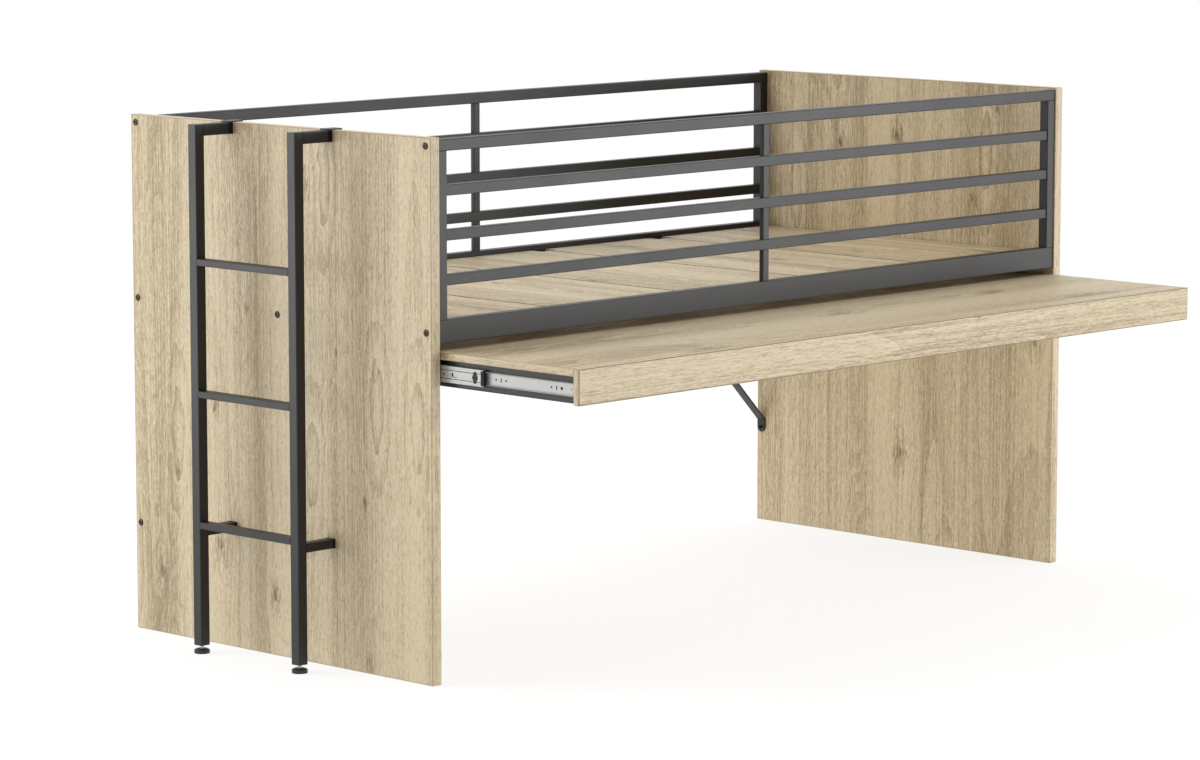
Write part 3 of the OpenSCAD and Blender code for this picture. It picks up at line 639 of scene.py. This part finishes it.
def make_board(node, grain_axis, finish, seam, body, outline=None):
    """Replaces a CAD board by one with edge bands and a grain direction."""
    low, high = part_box(node)
    size = high - low
    through, across = sorted({X, Y, Z} - {grain_axis}, key=lambda axis: size[axis])
    width, length = size[across], size[grain_axis]
    outline = outline or [(0, 0), (width, 0), (width, length), (0, length)]
    shape = slab(outline, size[through], bpy.context.scene.cabin_bed_boards)
    number = sorted(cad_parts).index(node)
    write_grain(shape, Vector([step * number for step in GRAIN_SHIFT]))
    for vert in shape.verts:
        place = Vector(low)
        place[across] += vert.co.x
        place[grain_axis] += vert.co.y
        place[through] += vert.co.z
        vert.co = place
    bmesh.ops.recalc_face_normals(shape, faces=shape.faces)
    mesh = bpy.data.meshes.new(node + "_board")
    shape.to_mesh(mesh)
    shape.free()
    mesh.materials.append(finish)
    mesh.materials.append(seam)
    hang(mesh, body, node)


# ---- Steel, plastic and rubber ----

# Share of the fine texture in the blotches of a finish, the rest being a soft cloud
FINE_SHARE = 0.6
# Waves of the clouds per metre, values between which blotches come up, and tone of worn coat
COAT_CLOUDS = 9.0
COAT_BLOTCHES = (0.3, 0.75)
COAT_WORN = 1.22
STEEL_CLOUDS = 60.0
STEEL_BLOTCHES = (0.3, 0.7)
MOULD_CLOUDS = 45.0
MOULD_PITS = 0.6 * MM
# Brightness of the palest spots of plastic, as a share of its colour and as a haze on top
MOULD_PALER = 1.35
MOULD_HAZE = 0.004

# Steels: colour, roughness, waves of the texture per metre along each axis, and the share of
# the brightness that is left where the surface is dullest
SLIDE_SHEET = ((182, 182, 180), 0.55, (1400, 8, 1400), 0.9)
STEELS = {
    "black_oxide": ((74, 68, 63), 0.34, (900, 900, 900), 0.72),
    "zinc_plate": ((188, 190, 194), 0.3, (700, 700, 700), 0.72),
    # Painted shade: the slide screws are nearly black, standing in for the shadow in the holes and
    # recesses they sit in
    "dull_zinc_plate": ((60, 60, 60), 0.45, (900, 900, 900), 0.72),
    "slide_zinc_sheet": SLIDE_SHEET,
    "lined_zinc_sheet": SLIDE_SHEET,
    "cage_sheet": ((170, 168, 160), 0.45, (900, 900, 900), 0.72),
    "polished_ball": ((225, 226, 228), 0.08, (300, 300, 300), 0.72),
}
# Plastics and rubber: colour, roughness and gloss
PLASTICS = {
    "black_bumper_plastic": ((16, 16, 17), 0.55, 0.25),
    "grey_latch_plastic": ((26, 26, 28), 0.5, 0.3),
    "black_rubber_pad": ((14, 14, 14), 0.85, 0.15),
    "black_foot_plastic": ((30, 30, 31), 0.48, 0.5),
}
# Painted shade of a pressed line in a slide, and the blur of its edge
GROOVE_SHADE = (52, 52, 50)
LINE_BLUR = 0.1 * MM


def blotches(shade, fine, cloud, low, high):
    """Where a finish changes its tone, from 0 to 1."""
    return shade.rise(fine * FINE_SHARE + cloud * (1 - FINE_SHARE), low, high)


def coat_finish(name, colour, coat):
    """Matt powder coat with a fine orange-peel texture."""
    shade = Shade(name)
    grain = shade.noise(shade.place(), 1 / coat.grain, 3)
    cloud = shade.noise(shade.place(), COAT_CLOUDS, 2)
    worn = blotches(shade, grain, cloud, *COAT_BLOTCHES)
    sheen = shade.around(coat.roughness, grain, spread=0.14)
    return shade.finish(
        Base_Color=shade.mix(worn, opaque(colour), opaque(colour, COAT_WORN)),
        Roughness=shade.around(sheen, cloud, spread=0.08),
        Normal=shade.bump(grain, depth=0.05 * MM, strength=0.3),
    )


def steel_finish(name, grooves=None):
    """Bare or plated steel. grooves is the height, the distance and the width of a pair of pressed
    lines along Y, painted dark as the shade in those grooves."""
    rgb, roughness, waves, dulled = STEELS[name]
    shade = Shade(name)
    place = shade.place()
    parts = shade.split(place)
    brushed = shade.vector(*(part * count for part, count in zip(parts, waves)))
    lines = shade.noise(brushed, 1.0, 3)
    cloud = shade.noise(place, STEEL_CLOUDS, 2)
    clean = blotches(shade, lines, cloud, *STEEL_BLOTCHES)
    colour = shade.mix(clean, opaque(srgb(*rgb), dulled), opaque(srgb(*rgb)))
    # The pressed lines are painted shade: dark bands in the colour where the grooves lie in shadow
    if grooves:
        height, distance, width = grooves
        beside = shade.math("ABSOLUTE", shade.math("ABSOLUTE", parts[Z] - height) - distance)
        inside = shade.fall(beside, width / 2, width / 2 + LINE_BLUR)
        colour = shade.mix(inside, colour, opaque(srgb(*GROOVE_SHADE)))
    return shade.finish(
        Base_Color=colour,
        Metallic=1.0,
        Roughness=shade.around(roughness, lines, spread=0.2),
        Normal=shade.bump(lines, depth=0.02 * MM, strength=0.25),
    )


def moulded_finish(name):
    """Moulded plastic or rubber with an eroded, slightly uneven surface."""
    rgb, roughness, gloss = PLASTICS[name]
    shade = Shade(name)
    pits = shade.noise(shade.place(), 1 / MOULD_PITS, 3)
    cloud = shade.noise(shade.place(), MOULD_CLOUDS, 2)
    paler = [part * MOULD_PALER + MOULD_HAZE for part in srgb(*rgb)]
    return shade.finish(
        Base_Color=shade.mix(cloud, opaque(srgb(*rgb)), opaque(paler)),
        Roughness=shade.around(roughness, pits, spread=0.2),
        Specular_IOR_Level=gloss,
        Normal=shade.bump(pits, depth=0.06 * MM, strength=0.35),
    )


# ---- Fasteners ----

HEAD_SIDES = 24
# Points of a CAD fastener within this share of its length from an end belong to that end
END_SHARE = 0.08
SAME_POINT = 0.001 * MM
TINY = 1e-9
FACING = "facing"

# Domed head of a bolt: its height, and its profile in shares of that height and of its radius
BOLT_HEAD = 2.5 * MM
DOME = ((1, 0.97), (0.9, 1), (0.55, 1), (0.22, 0.88), (0.05, 0.68), (0, 0.5), (0, 0.42))
BOLT_TIP = 1.0 * MM
BOLT_TIP_SHARE = 0.75
SOCKET_LIP = 0.15 * MM
SOCKET_CONE = 0.4 * MM
# Countersunk screw: its point, the rounded rim of its head, and the recess
SCREW_POINT = 2.2 * MM
SCREW_RIM = ((0.2 * MM, 0.98), (0.05 * MM, 1.0), (0.0, 0.96))
RECESS_WALL = 1.4 * MM
RECESS_DEPTH = 1.7 * MM
RECESS_TAPER = 0.45


def islands(node):
    """The separate solids of a CAD node, each as the list of its points."""
    shape = bmesh.new()
    shape.from_mesh(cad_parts[node].data)
    bmesh.ops.remove_doubles(shape, verts=shape.verts, dist=SAME_POINT)
    seen = set()
    found = []
    for start in shape.verts:
        if start in seen:
            continue
        seen.add(start)
        group = [start]
        for vert in group:
            for edge in vert.link_edges:
                other = edge.other_vert(vert)
                if other not in seen:
                    seen.add(other)
                    group.append(other)
        found.append([vert.co.copy() for vert in group])
    shape.free()
    return found


class Fastener:
    """Place, direction and size of one CAD bolt or screw."""

    def __init__(self, points):
        low = Vector([min(parts) for parts in zip(*points)])
        high = Vector([max(parts) for parts in zip(*points)])
        size = high - low
        self.axis = max((X, Y, Z), key=lambda axis: size[axis])
        self.length = size[self.axis]
        middle = (low + high) / 2
        across = {X, Y, Z} - {self.axis}

        def reach(end):
            near = [p for p in points if abs(p[self.axis] - end) < self.length * END_SHARE]
            return max(math.hypot(*(p[axis] - middle[axis] for axis in across)) for p in near)

        ends = low[self.axis], high[self.axis]
        head = max(ends, key=reach)
        self.radius = reach(head)
        self.place = middle
        self.place[self.axis] = head
        self.facing = Vector((0, 0, 0))
        self.facing[self.axis] = 1 if head == ends[1] else -1


def lathe(name, rings):
    """A closed turned solid about Z. Each ring is (height, radius), where a radius may
    depend on the angle and None is a pole."""
    shape = bmesh.new()
    angles = [math.tau * i / HEAD_SIDES for i in range(HEAD_SIDES)]
    loops = []
    for height, radius in rings:
        if radius is None:
            loops.append([shape.verts.new((0, 0, height))])
            continue
        spans = [radius(a) if callable(radius) else radius for a in angles]
        points = [(s * math.cos(a), s * math.sin(a), height) for s, a in zip(spans, angles)]
        loops.append([shape.verts.new(point) for point in points])
    for lower, upper in zip(loops, loops[1:]):
        for i in range(HEAD_SIDES):
            j = (i + 1) % HEAD_SIDES
            turn = [lower[i % len(lower)], lower[j % len(lower)]]
            turn += [upper[j % len(upper)], upper[i % len(upper)]]
            shape.faces.new(list(dict.fromkeys(turn)))
    bmesh.ops.recalc_face_normals(shape, faces=shape.faces)
    mesh = bpy.data.meshes.new(name)
    shape.to_mesh(mesh)
    shape.free()
    return mesh


def hexagon(flats):
    """Radius of a hexagon of that width across its flats, by angle."""
    sector = math.tau / 6
    return lambda angle: flats / 2 / math.cos((angle % sector) - sector / 2)


def cross(reach, half_width):
    """Radius of a cross of two bars, by angle."""

    def bar(long_part, short_part):
        return min(reach / max(long_part, TINY), half_width / max(short_part, TINY))

    def radius(angle):
        run, rise = abs(math.cos(angle)), abs(math.sin(angle))
        return max(bar(run, rise), bar(rise, run))

    return radius


def bolt_shape(sample, sizes):
    """Panel bolt with a low domed head and a hexagon socket. Its top is at height 0."""
    socket = hexagon(sizes.socket_flats)
    tip = -sample.length
    return lathe(
        "bolt_shape",
        [
            (tip, None),
            (tip, sizes.bolt_shank * BOLT_TIP_SHARE),
            (tip + BOLT_TIP, sizes.bolt_shank),
            (-BOLT_HEAD, sizes.bolt_shank),
            *((-BOLT_HEAD * depth, sample.radius * share) for depth, share in DOME),
            (-SOCKET_LIP, socket),
            (-sizes.socket_depth, socket),
            (-sizes.socket_depth - SOCKET_CONE, None),
        ],
    )


def screw_shape(sample, sizes):
    """Countersunk screw with a cross recess. Its top is at height 0."""
    recess = cross(sizes.cross_reach, sizes.cross_width)
    shank = sizes.screw_shank
    tip = -sample.length
    return lathe(
        "screw_shape",
        [
            (tip, None),
            (tip + SCREW_POINT, shank),
            (shank - sample.radius, shank),
            *((-depth, sample.radius * share) for depth, share in SCREW_RIM),
            (0, recess),
            (-RECESS_WALL, lambda angle: recess(angle) * RECESS_TAPER),
            (-RECESS_DEPTH, None),
        ],
    )


def fastener_tree():
    """Sets a head on every point, turned to the point's facing direction."""
    sockets = {"Points": "Geometry", "Head": "Object", "Size": "Float", "Finish": "Material"}
    tree = Growth("fasteners_on_points", sockets)
    shown = {"Object": tree.given("Head")}
    head = tree.node("GeometryNodeObjectInfo", {}, shown, "Geometry")
    settings = {"data_type": "FLOAT_VECTOR"}
    facing = tree.node("GeometryNodeInputNamedAttribute", settings, {"Name": FACING}, "Attribute")
    turn = tree.node("FunctionNodeAlignRotationToVector", {"axis": "Z"}, {"Vector": facing})
    return tree.finish(tree.given("Points"), head, Rotation=turn, Scale=tree.given("Size"))


def set_fasteners(name, node, shaper, finish, body):
    """Replaces a CAD node of bolts or screws by detailed ones at the same places."""
    spots = [Fastener(points) for points in islands(node)]
    places = bpy.data.meshes.new(name + "_points")
    places.from_pydata([spot.place for spot in spots], [], [])
    facing = places.attributes.new(FACING, "FLOAT_VECTOR", "POINT")
    facing.data.foreach_set("vector", [part for spot in spots for part in spot.facing])
    shape = shaper(spots[0], bpy.context.scene.cabin_bed_fasteners)
    head = bpy.data.objects.new(shape.name, shape)
    values = {"Head": head, "Size": 1.0, "Finish": finish}
    mesh = grown(name, places, fastener_tree(), values)
    bpy.data.objects.remove(head)
    hang(mesh, body, node)


# ---- Rails and rungs ----

CORNER_STEPS = 5
# Turns that lay a tube drawn along Z along X, or along -Y for a tube along Y
LYING = {X: (math.pi / 2, 0.0, math.pi / 2), Y: (math.pi / 2, 0.0, 0.0)}


def tube_tree():
    """A row of equal rectangular tubes: Count of them, a Pitch apart, from Start."""
    sockets = {"Base": "Geometry", "Count": "Int", "Finish": "Material"}
    sockets |= dict.fromkeys(("Width", "Height", "Length", "Corner", "Wall"), "Float")
    sockets |= dict.fromkeys(("Turn", "Start", "Pitch"), "Vector")
    tree = Growth("tube_row", sockets)
    width, height, wall = tree.given("Width"), tree.given("Height"), tree.given("Wall")
    oblong = "GeometryNodeCurvePrimitiveQuadrilateral"
    outer = tree.node(oblong, {}, {"Width": width, "Height": height})
    rounding = {"Curve": outer, "Radius": tree.given("Corner"), "Count": CORNER_STEPS}
    outer = tree.node("GeometryNodeFilletCurve", {"mode": "POLY"}, rounding)
    hollow = {"Width": width - wall * 2, "Height": height - wall * 2}
    inner = tree.node(oblong, {}, hollow)
    both = {"Curve": tree.join(outer, inner)}
    section = tree.node("GeometryNodeFillCurve", {"mode": "TRIANGLES"}, both)
    push = {"Mesh": section, "Offset Scale": tree.given("Length"), "Individual": False}
    drawn = tree.node("GeometryNodeExtrudeMesh", {"mode": "FACES"}, push)
    closed = tree.node("GeometryNodeFlipFaces", {}, {"Mesh": section})
    ends = {"Geometry": tree.join(drawn, closed), "Distance": SAME_POINT}
    solid = tree.node("GeometryNodeMergeByDistance", {}, ends)
    laid = {"Geometry": solid, "Rotation": tree.given("Turn")}
    tube = tree.node("GeometryNodeTransform", {}, laid)
    row = {"Start Location": tree.given("Start"), "Offset": tree.given("Pitch")}
    row["Count"] = tree.given("Count")
    return tree.finish(tree.node("GeometryNodeMeshLine", {}, row), tube)


def set_tubes(name, node, along, height, finish, body):
    """Replaces a CAD node of equal, evenly spaced tubes."""
    rails = bpy.context.scene.cabin_bed_rails
    low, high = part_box(node)
    size = high - low
    start = (low + high) / 2
    start.z = low.z + height / 2
    start[along], width = (low.x, size.y) if along == X else (high.y, size.x)
    values = {
        "Width": width,
        "Height": height,
        "Length": size[along],
        "Corner": rails.corner,
        "Wall": rails.wall,
        "Turn": LYING[along],
        "Start": start,
        "Pitch": (0.0, 0.0, (size.z - height) / (rails.count - 1)),
        "Count": rails.count,
        "Finish": finish,
    }
    mesh = grown(name, bpy.data.meshes.new(name + "_base"), tube_tree(), values)
    hang(mesh, body, node)


# ---- Stage ----

SENSOR_WIDTH = 36.0
# Lamps: place, width, power setting, and the node they are turned to or None for the middle
LAMPS = {
    "key_lamp": ((-3.2, 2.0, 4.6), 2.4, "key_power", None),
    "ladder_lamp": ((-3.2, 2.3, 0.8), 1.6, "ladder_power", "ladder_end_panel"),
    "desk_lamp": ((5.4, -6.2, 0.8), 3.4, "desk_power", None),
}
# What the camera sees of the floor is this much paler, which keeps its shadow
FLOOR_GLOW = 0.79


def seen_directly(tree):
    """1 or more for a ray that shows the background itself, also in metal or through glass."""
    ray = tree.node("ShaderNodeLightPath", {}, {}, "Is Camera Ray")
    return ray + ray.also("Is Glossy Ray") + ray.also("Is Transmission Ray")


def add_camera(context, stage):
    camera = bpy.data.objects.new("camera", bpy.data.cameras.new("camera"))
    camera.location = stage.eye
    camera.rotation_euler = (math.pi / 2 - stage.pitch, 0.0, stage.yaw - math.pi / 2)
    camera.data.lens = stage.lens
    camera.data.sensor_width = SENSOR_WIDTH
    context.scene.collection.objects.link(camera)
    context.scene.camera = camera


def add_world(context, stage):
    world = bpy.data.worlds.new("studio")
    world.use_nodes = True
    world.node_tree.nodes.clear()
    context.scene.world = world
    tree = Tree(world.node_tree)
    far, rear, up = tree.split(tree.node("ShaderNodeTexCoord", {}, {}, "Generated"))
    strength = stage.even_light
    lights = stage.far_light, stage.rear_light, stage.sky_light
    for side, light in zip((far, rear, up), lights):
        strength = tree.math("MAXIMUM", side, 0.0) * light + strength
    strength = strength - tree.math("MINIMUM", up, 0.0) * stage.bounce
    shown = tree.math("MINIMUM", seen_directly(tree), 1.0)
    strength = strength + (1.0 - strength) * shown
    light = tree.node("ShaderNodeBackground", {}, {"Color": WHITE, "Strength": strength})
    tree.node("ShaderNodeOutputWorld", {}, {"Surface": light})


def add_lamp(context, stage, name):
    place, width, power, node = LAMPS[name]
    low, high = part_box(node) if node else CAD_BOX
    lamp = bpy.data.objects.new(name, bpy.data.lights.new(name, "AREA"))
    lamp.data.shape = "DISK"
    lamp.data.size = width
    lamp.data.energy = getattr(stage, power)
    lamp.location = place
    look = (low + high) / 2 - lamp.location
    lamp.rotation_euler = look.to_track_quat("-Z", "Y").to_euler()
    context.scene.collection.objects.link(lamp)


def add_floor(context, stage):
    half = stage.floor_size / 2
    mesh = bpy.data.meshes.new("floor")
    corners = [(-half, -half, 0), (half, -half, 0), (half, half, 0), (-half, half, 0)]
    mesh.from_pydata(corners, [], [(0, 1, 2, 3)])
    shade = Shade("floor_paint")
    paint = shade.node("ShaderNodeBsdfDiffuse", {}, {"Color": opaque(stage.floor_colour)})
    glow = shade.node("ShaderNodeEmission", {}, {"Color": WHITE, "Strength": FLOOR_GLOW})
    lifted = shade.node("ShaderNodeAddShader", {}, {0: paint, 1: glow})
    looks = {0: seen_directly(shade), 1: paint, 2: lifted}
    both = shade.node("ShaderNodeMixShader", {}, looks)
    shade.node("ShaderNodeOutputMaterial", {}, {"Surface": both})
    mesh.materials.append(shade.material)
    floor = bpy.data.objects.new("floor", mesh)
    floor.visible_diffuse = False
    floor.visible_shadow = False
    context.scene.collection.objects.link(floor)


# ---- Operators ----


class CABINBED_OT_stage(bpy.types.Operator):
    """Adds the camera, the lamps, the world and the floor"""

    bl_idname = "cabin_bed.stage"
    bl_label = "Camera, Light and Floor"

    def execute(self, context):
        stage = context.scene.cabin_bed_stage
        context.scene.view_settings.view_transform = "Standard"
        add_camera(context, stage)
        add_world(context, stage)
        for name in LAMPS:
            add_lamp(context, stage, name)
        add_floor(context, stage)
        return {"FINISHED"}


class CABINBED_OT_end_panels(bpy.types.Operator):
    """Makes the two end panels, with upright grain"""

    bl_idname = "cabin_bed.end_panels"
    bl_label = "End Panels"

    def execute(self, context):
        oak = context.scene.cabin_bed_oak
        finish = OakDecor("oak_panel_decor", oak).build()
        seam = seam_finish("oak_panel_edge_line", oak.seam, oak.mid)
        for node in ("ladder_end_panel", "far_end_panel"):
            make_board(node, Z, finish, seam, "bed")
        return {"FINISHED"}


# Two boards leave an opening for the saddle tab at each end of their joint
NEAR_NOTCH = 14 * MM
FAR_NOTCH = 29 * MM
NOTCH_DEPTH = 36 * MM
# The speckle in the painted shade at the joint of two boards is this much brighter
JOINT_SHADE_SPECKLE = 2.0


def notched(node, at_near, at_far):
    """Outline with notches in the corners of its near side, of its far side or of both."""
    low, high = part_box(node)
    width, length = high.x - low.x, high.y - low.y
    near, far = [(0, 0)], [(width, 0)]
    if at_near:
        near = [(0, NOTCH_DEPTH), (NEAR_NOTCH, NOTCH_DEPTH), (NEAR_NOTCH, 0)]
    if at_far:
        wall = width - FAR_NOTCH
        far = [(wall, 0), (wall, NOTCH_DEPTH), (width, NOTCH_DEPTH)]
    front = near + far
    return front + [(x, length - y) for x, y in reversed(front)]


class CABINBED_OT_deck(bpy.types.Operator):
    """Makes the five deck boards, notched for the saddle tabs"""

    bl_idname = "cabin_bed.deck"
    bl_label = "Deck"

    def execute(self, context):
        oak = context.scene.cabin_bed_oak
        finish = OakDecor("oak_deck_decor", oak).build()
        # The deck boards' edge lines are painted shade, near black like the shadow in the gaps
        # between boards
        seam = seam_finish("oak_deck_edge_line", oak.joint, opaque(oak.joint, JOINT_SHADE_SPECKLE))
        boards = sorted(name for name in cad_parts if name.startswith("deck_board_"))
        for node in boards:
            outline = notched(node, node != boards[0], node != boards[-1])
            make_board(node, Y, finish, seam, "bed", outline)
        return {"FINISHED"}


# The desk's decor is a little paler and its figure longer than that of the other boards
DESK_DECOR = {"paler": 0.07, "longer": 1.6}


class CABINBED_OT_desk(bpy.types.Operator):
    """Makes the desk board and its front board, with grain along the bed"""

    bl_idname = "cabin_bed.desk"
    bl_label = "Desk Boards"

    def execute(self, context):
        oak = context.scene.cabin_bed_oak
        finish = OakDecor("oak_desk_decor", oak, **DESK_DECOR).build()
        top_seam = seam_finish("oak_desk_edge_line", oak.seam, oak.mid)
        front_seam = seam_finish("oak_desk_glue_line", oak.glue, oak.dark)
        for node, seam in (("desk_top", top_seam), ("desk_fascia", front_seam)):
            make_board(node, X, finish, seam, "desk")
        return {"FINISHED"}


class CABINBED_OT_guards(bpy.types.Operator):
    """Makes the middle rails of both guards and coats the steel of the bed and the desk"""

    bl_idname = "cabin_bed.guards"
    bl_label = "Guard Frames"

    def execute(self, context):
        coat = context.scene.cabin_bed_coat
        height = context.scene.cabin_bed_rails.rail_height
        finish = coat_finish("graphite_frame_coat", coat.frame_colour, coat)
        for side in ("front", "rear"):
            name = side + "_guard_rails"
            node = side + "_mid_rails"
            set_tubes(name, node, X, height, finish, "bed")
            dress(finish, side + "_top_rail", side + "_bottom_rail")
        dress(finish, "guard_end_posts", "guard_centre_posts", "rear_braces")
        dress(finish, "bearer_saddles", "cross_bearers", "desk_rear_rail", "desk_centre_rail")
        dress(finish, "desk_side_rail_left", "desk_side_rail_right")
        return {"FINISHED"}


class CABINBED_OT_fasteners(bpy.types.Operator):
    """Makes the bolts and screws, and plates the threaded blocks, the angles and the stems"""

    bl_idname = "cabin_bed.fasteners"
    bl_label = "Bolts and Screws"

    def execute(self, context):
        oxide = steel_finish("black_oxide")
        zinc = steel_finish("zinc_plate")
        # The slide screws get a near-black plate, painted shade of the holes they sit in
        hole_shade = steel_finish("dull_zinc_plate")
        set_fasteners("hex_bolts", "panel_bolts", bolt_shape, oxide, "bed")
        for name, node, finish, body in (
            ("brace_cross_screws", "brace_screws", zinc, "bed"),
            ("outer_slide_cross_screws", "slide_outer_screws", hole_shade, "bed"),
            ("inner_slide_cross_screws", "slide_inner_screws", hole_shade, "desk"),
            ("desk_cross_screws", "desk_screws", zinc, "desk"),
        ):
            set_fasteners(name, node, screw_shape, finish, body)
        dress(zinc, "rail_end_nuts", "fascia_angles", "foot_stem_front", "foot_stem_rear")
        return {"FINISHED"}


# Height of the pressed lines above and below the middle of the member, and their width
LINE_DISTANCE = 8.8 * MM
LINE_WIDTH = 1.2 * MM


class CABINBED_OT_slides(bpy.types.Operator):
    """Finishes both telescopic slides: members, cages, balls, bumpers and latches"""

    bl_idname = "cabin_bed.slides"
    bl_label = "Slides"

    def execute(self, context):
        low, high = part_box("slide_middle_left")
        grooves = (low.z + high.z) / 2, LINE_DISTANCE, LINE_WIDTH
        sheet = steel_finish("slide_zinc_sheet")
        lined = steel_finish("lined_zinc_sheet", grooves)
        cage = steel_finish("cage_sheet")
        ball = steel_finish("polished_ball")
        black = moulded_finish("black_bumper_plastic")
        grey = moulded_finish("grey_latch_plastic")
        for side in ("left", "right"):
            dress(sheet, "slide_outer_" + side, "slide_inner_" + side)
            dress(lined, "slide_middle_" + side)
            dress(cage, "outer_cage_" + side, "inner_cage_" + side)
            dress(ball, "outer_balls_" + side, "inner_balls_" + side)
            dress(black, "slide_bumper_" + side)
            dress(grey, "slide_latch_" + side)
        return {"FINISHED"}


class CABINBED_OT_ladder(bpy.types.Operator):
    """Makes the rungs and finishes the ladder with its hooks, pads and feet"""

    bl_idname = "cabin_bed.ladder"
    bl_label = "Ladder"

    def execute(self, context):
        coat = context.scene.cabin_bed_coat
        height = context.scene.cabin_bed_rails.rung_height
        finish = coat_finish("graphite_ladder_coat", coat.ladder_colour, coat)
        set_tubes("rungs", "ladder_rungs", Y, height, finish, "ladder")
        dress(finish, "ladder_stiles", "ladder_arms", "ladder_standoffs", "ladder_hooks")
        dress(moulded_finish("black_rubber_pad"), "ladder_pads")
        plastic = moulded_finish("black_foot_plastic")
        dress(plastic, "foot_plugs", "foot_pad_front", "foot_pad_rear")
        return {"FINISHED"}


class CABINBED_PT_panel(bpy.types.Panel):
    """Lists the steps that build the cabin bed"""

    bl_label = "Cabin Bed"
    bl_idname = "CABINBED_PT_panel"
    bl_space_type = "VIEW_3D"
    bl_region_type = "UI"
    bl_category = "Cabin Bed"

    def draw(self, context):
        for operator in OPERATORS:
            self.layout.operator(operator.bl_idname)
        for name in SETTINGS:
            group = getattr(context.scene, name)
            box = self.layout.box()
            box.label(text=group.bl_rna.description)
            for setting in group.bl_rna.properties:
                if not setting.is_readonly and setting.identifier != "name":
                    box.prop(group, setting.identifier)


OPERATORS = (
    CABINBED_OT_stage,
    CABINBED_OT_end_panels,
    CABINBED_OT_deck,
    CABINBED_OT_desk,
    CABINBED_OT_guards,
    CABINBED_OT_fasteners,
    CABINBED_OT_slides,
    CABINBED_OT_ladder,
)
SETTINGS = {
    "cabin_bed_oak": OakSettings,
    "cabin_bed_boards": BoardSettings,
    "cabin_bed_coat": CoatSettings,
    "cabin_bed_rails": RailSettings,
    "cabin_bed_fasteners": FastenerSettings,
    "cabin_bed_stage": StageSettings,
}
CLASSES = (*SETTINGS.values(), *OPERATORS, CABINBED_PT_panel)


def register():
    for kind in CLASSES:
        bpy.utils.register_class(kind)
    for name, group in SETTINGS.items():
        setattr(bpy.types.Scene, name, PointerProperty(type=group))


def unregister():
    for name in SETTINGS:
        delattr(bpy.types.Scene, name)
    for kind in reversed(CLASSES):
        bpy.utils.unregister_class(kind)


def main():
    register()
    bpy.ops.cabin_bed.stage()
    bpy.ops.cabin_bed.end_panels()
    bpy.ops.cabin_bed.deck()
    bpy.ops.cabin_bed.desk()
    bpy.ops.cabin_bed.guards()
    bpy.ops.cabin_bed.fasteners()
    bpy.ops.cabin_bed.slides()
    bpy.ops.cabin_bed.ladder()


if __name__ == "__main__":
    main()
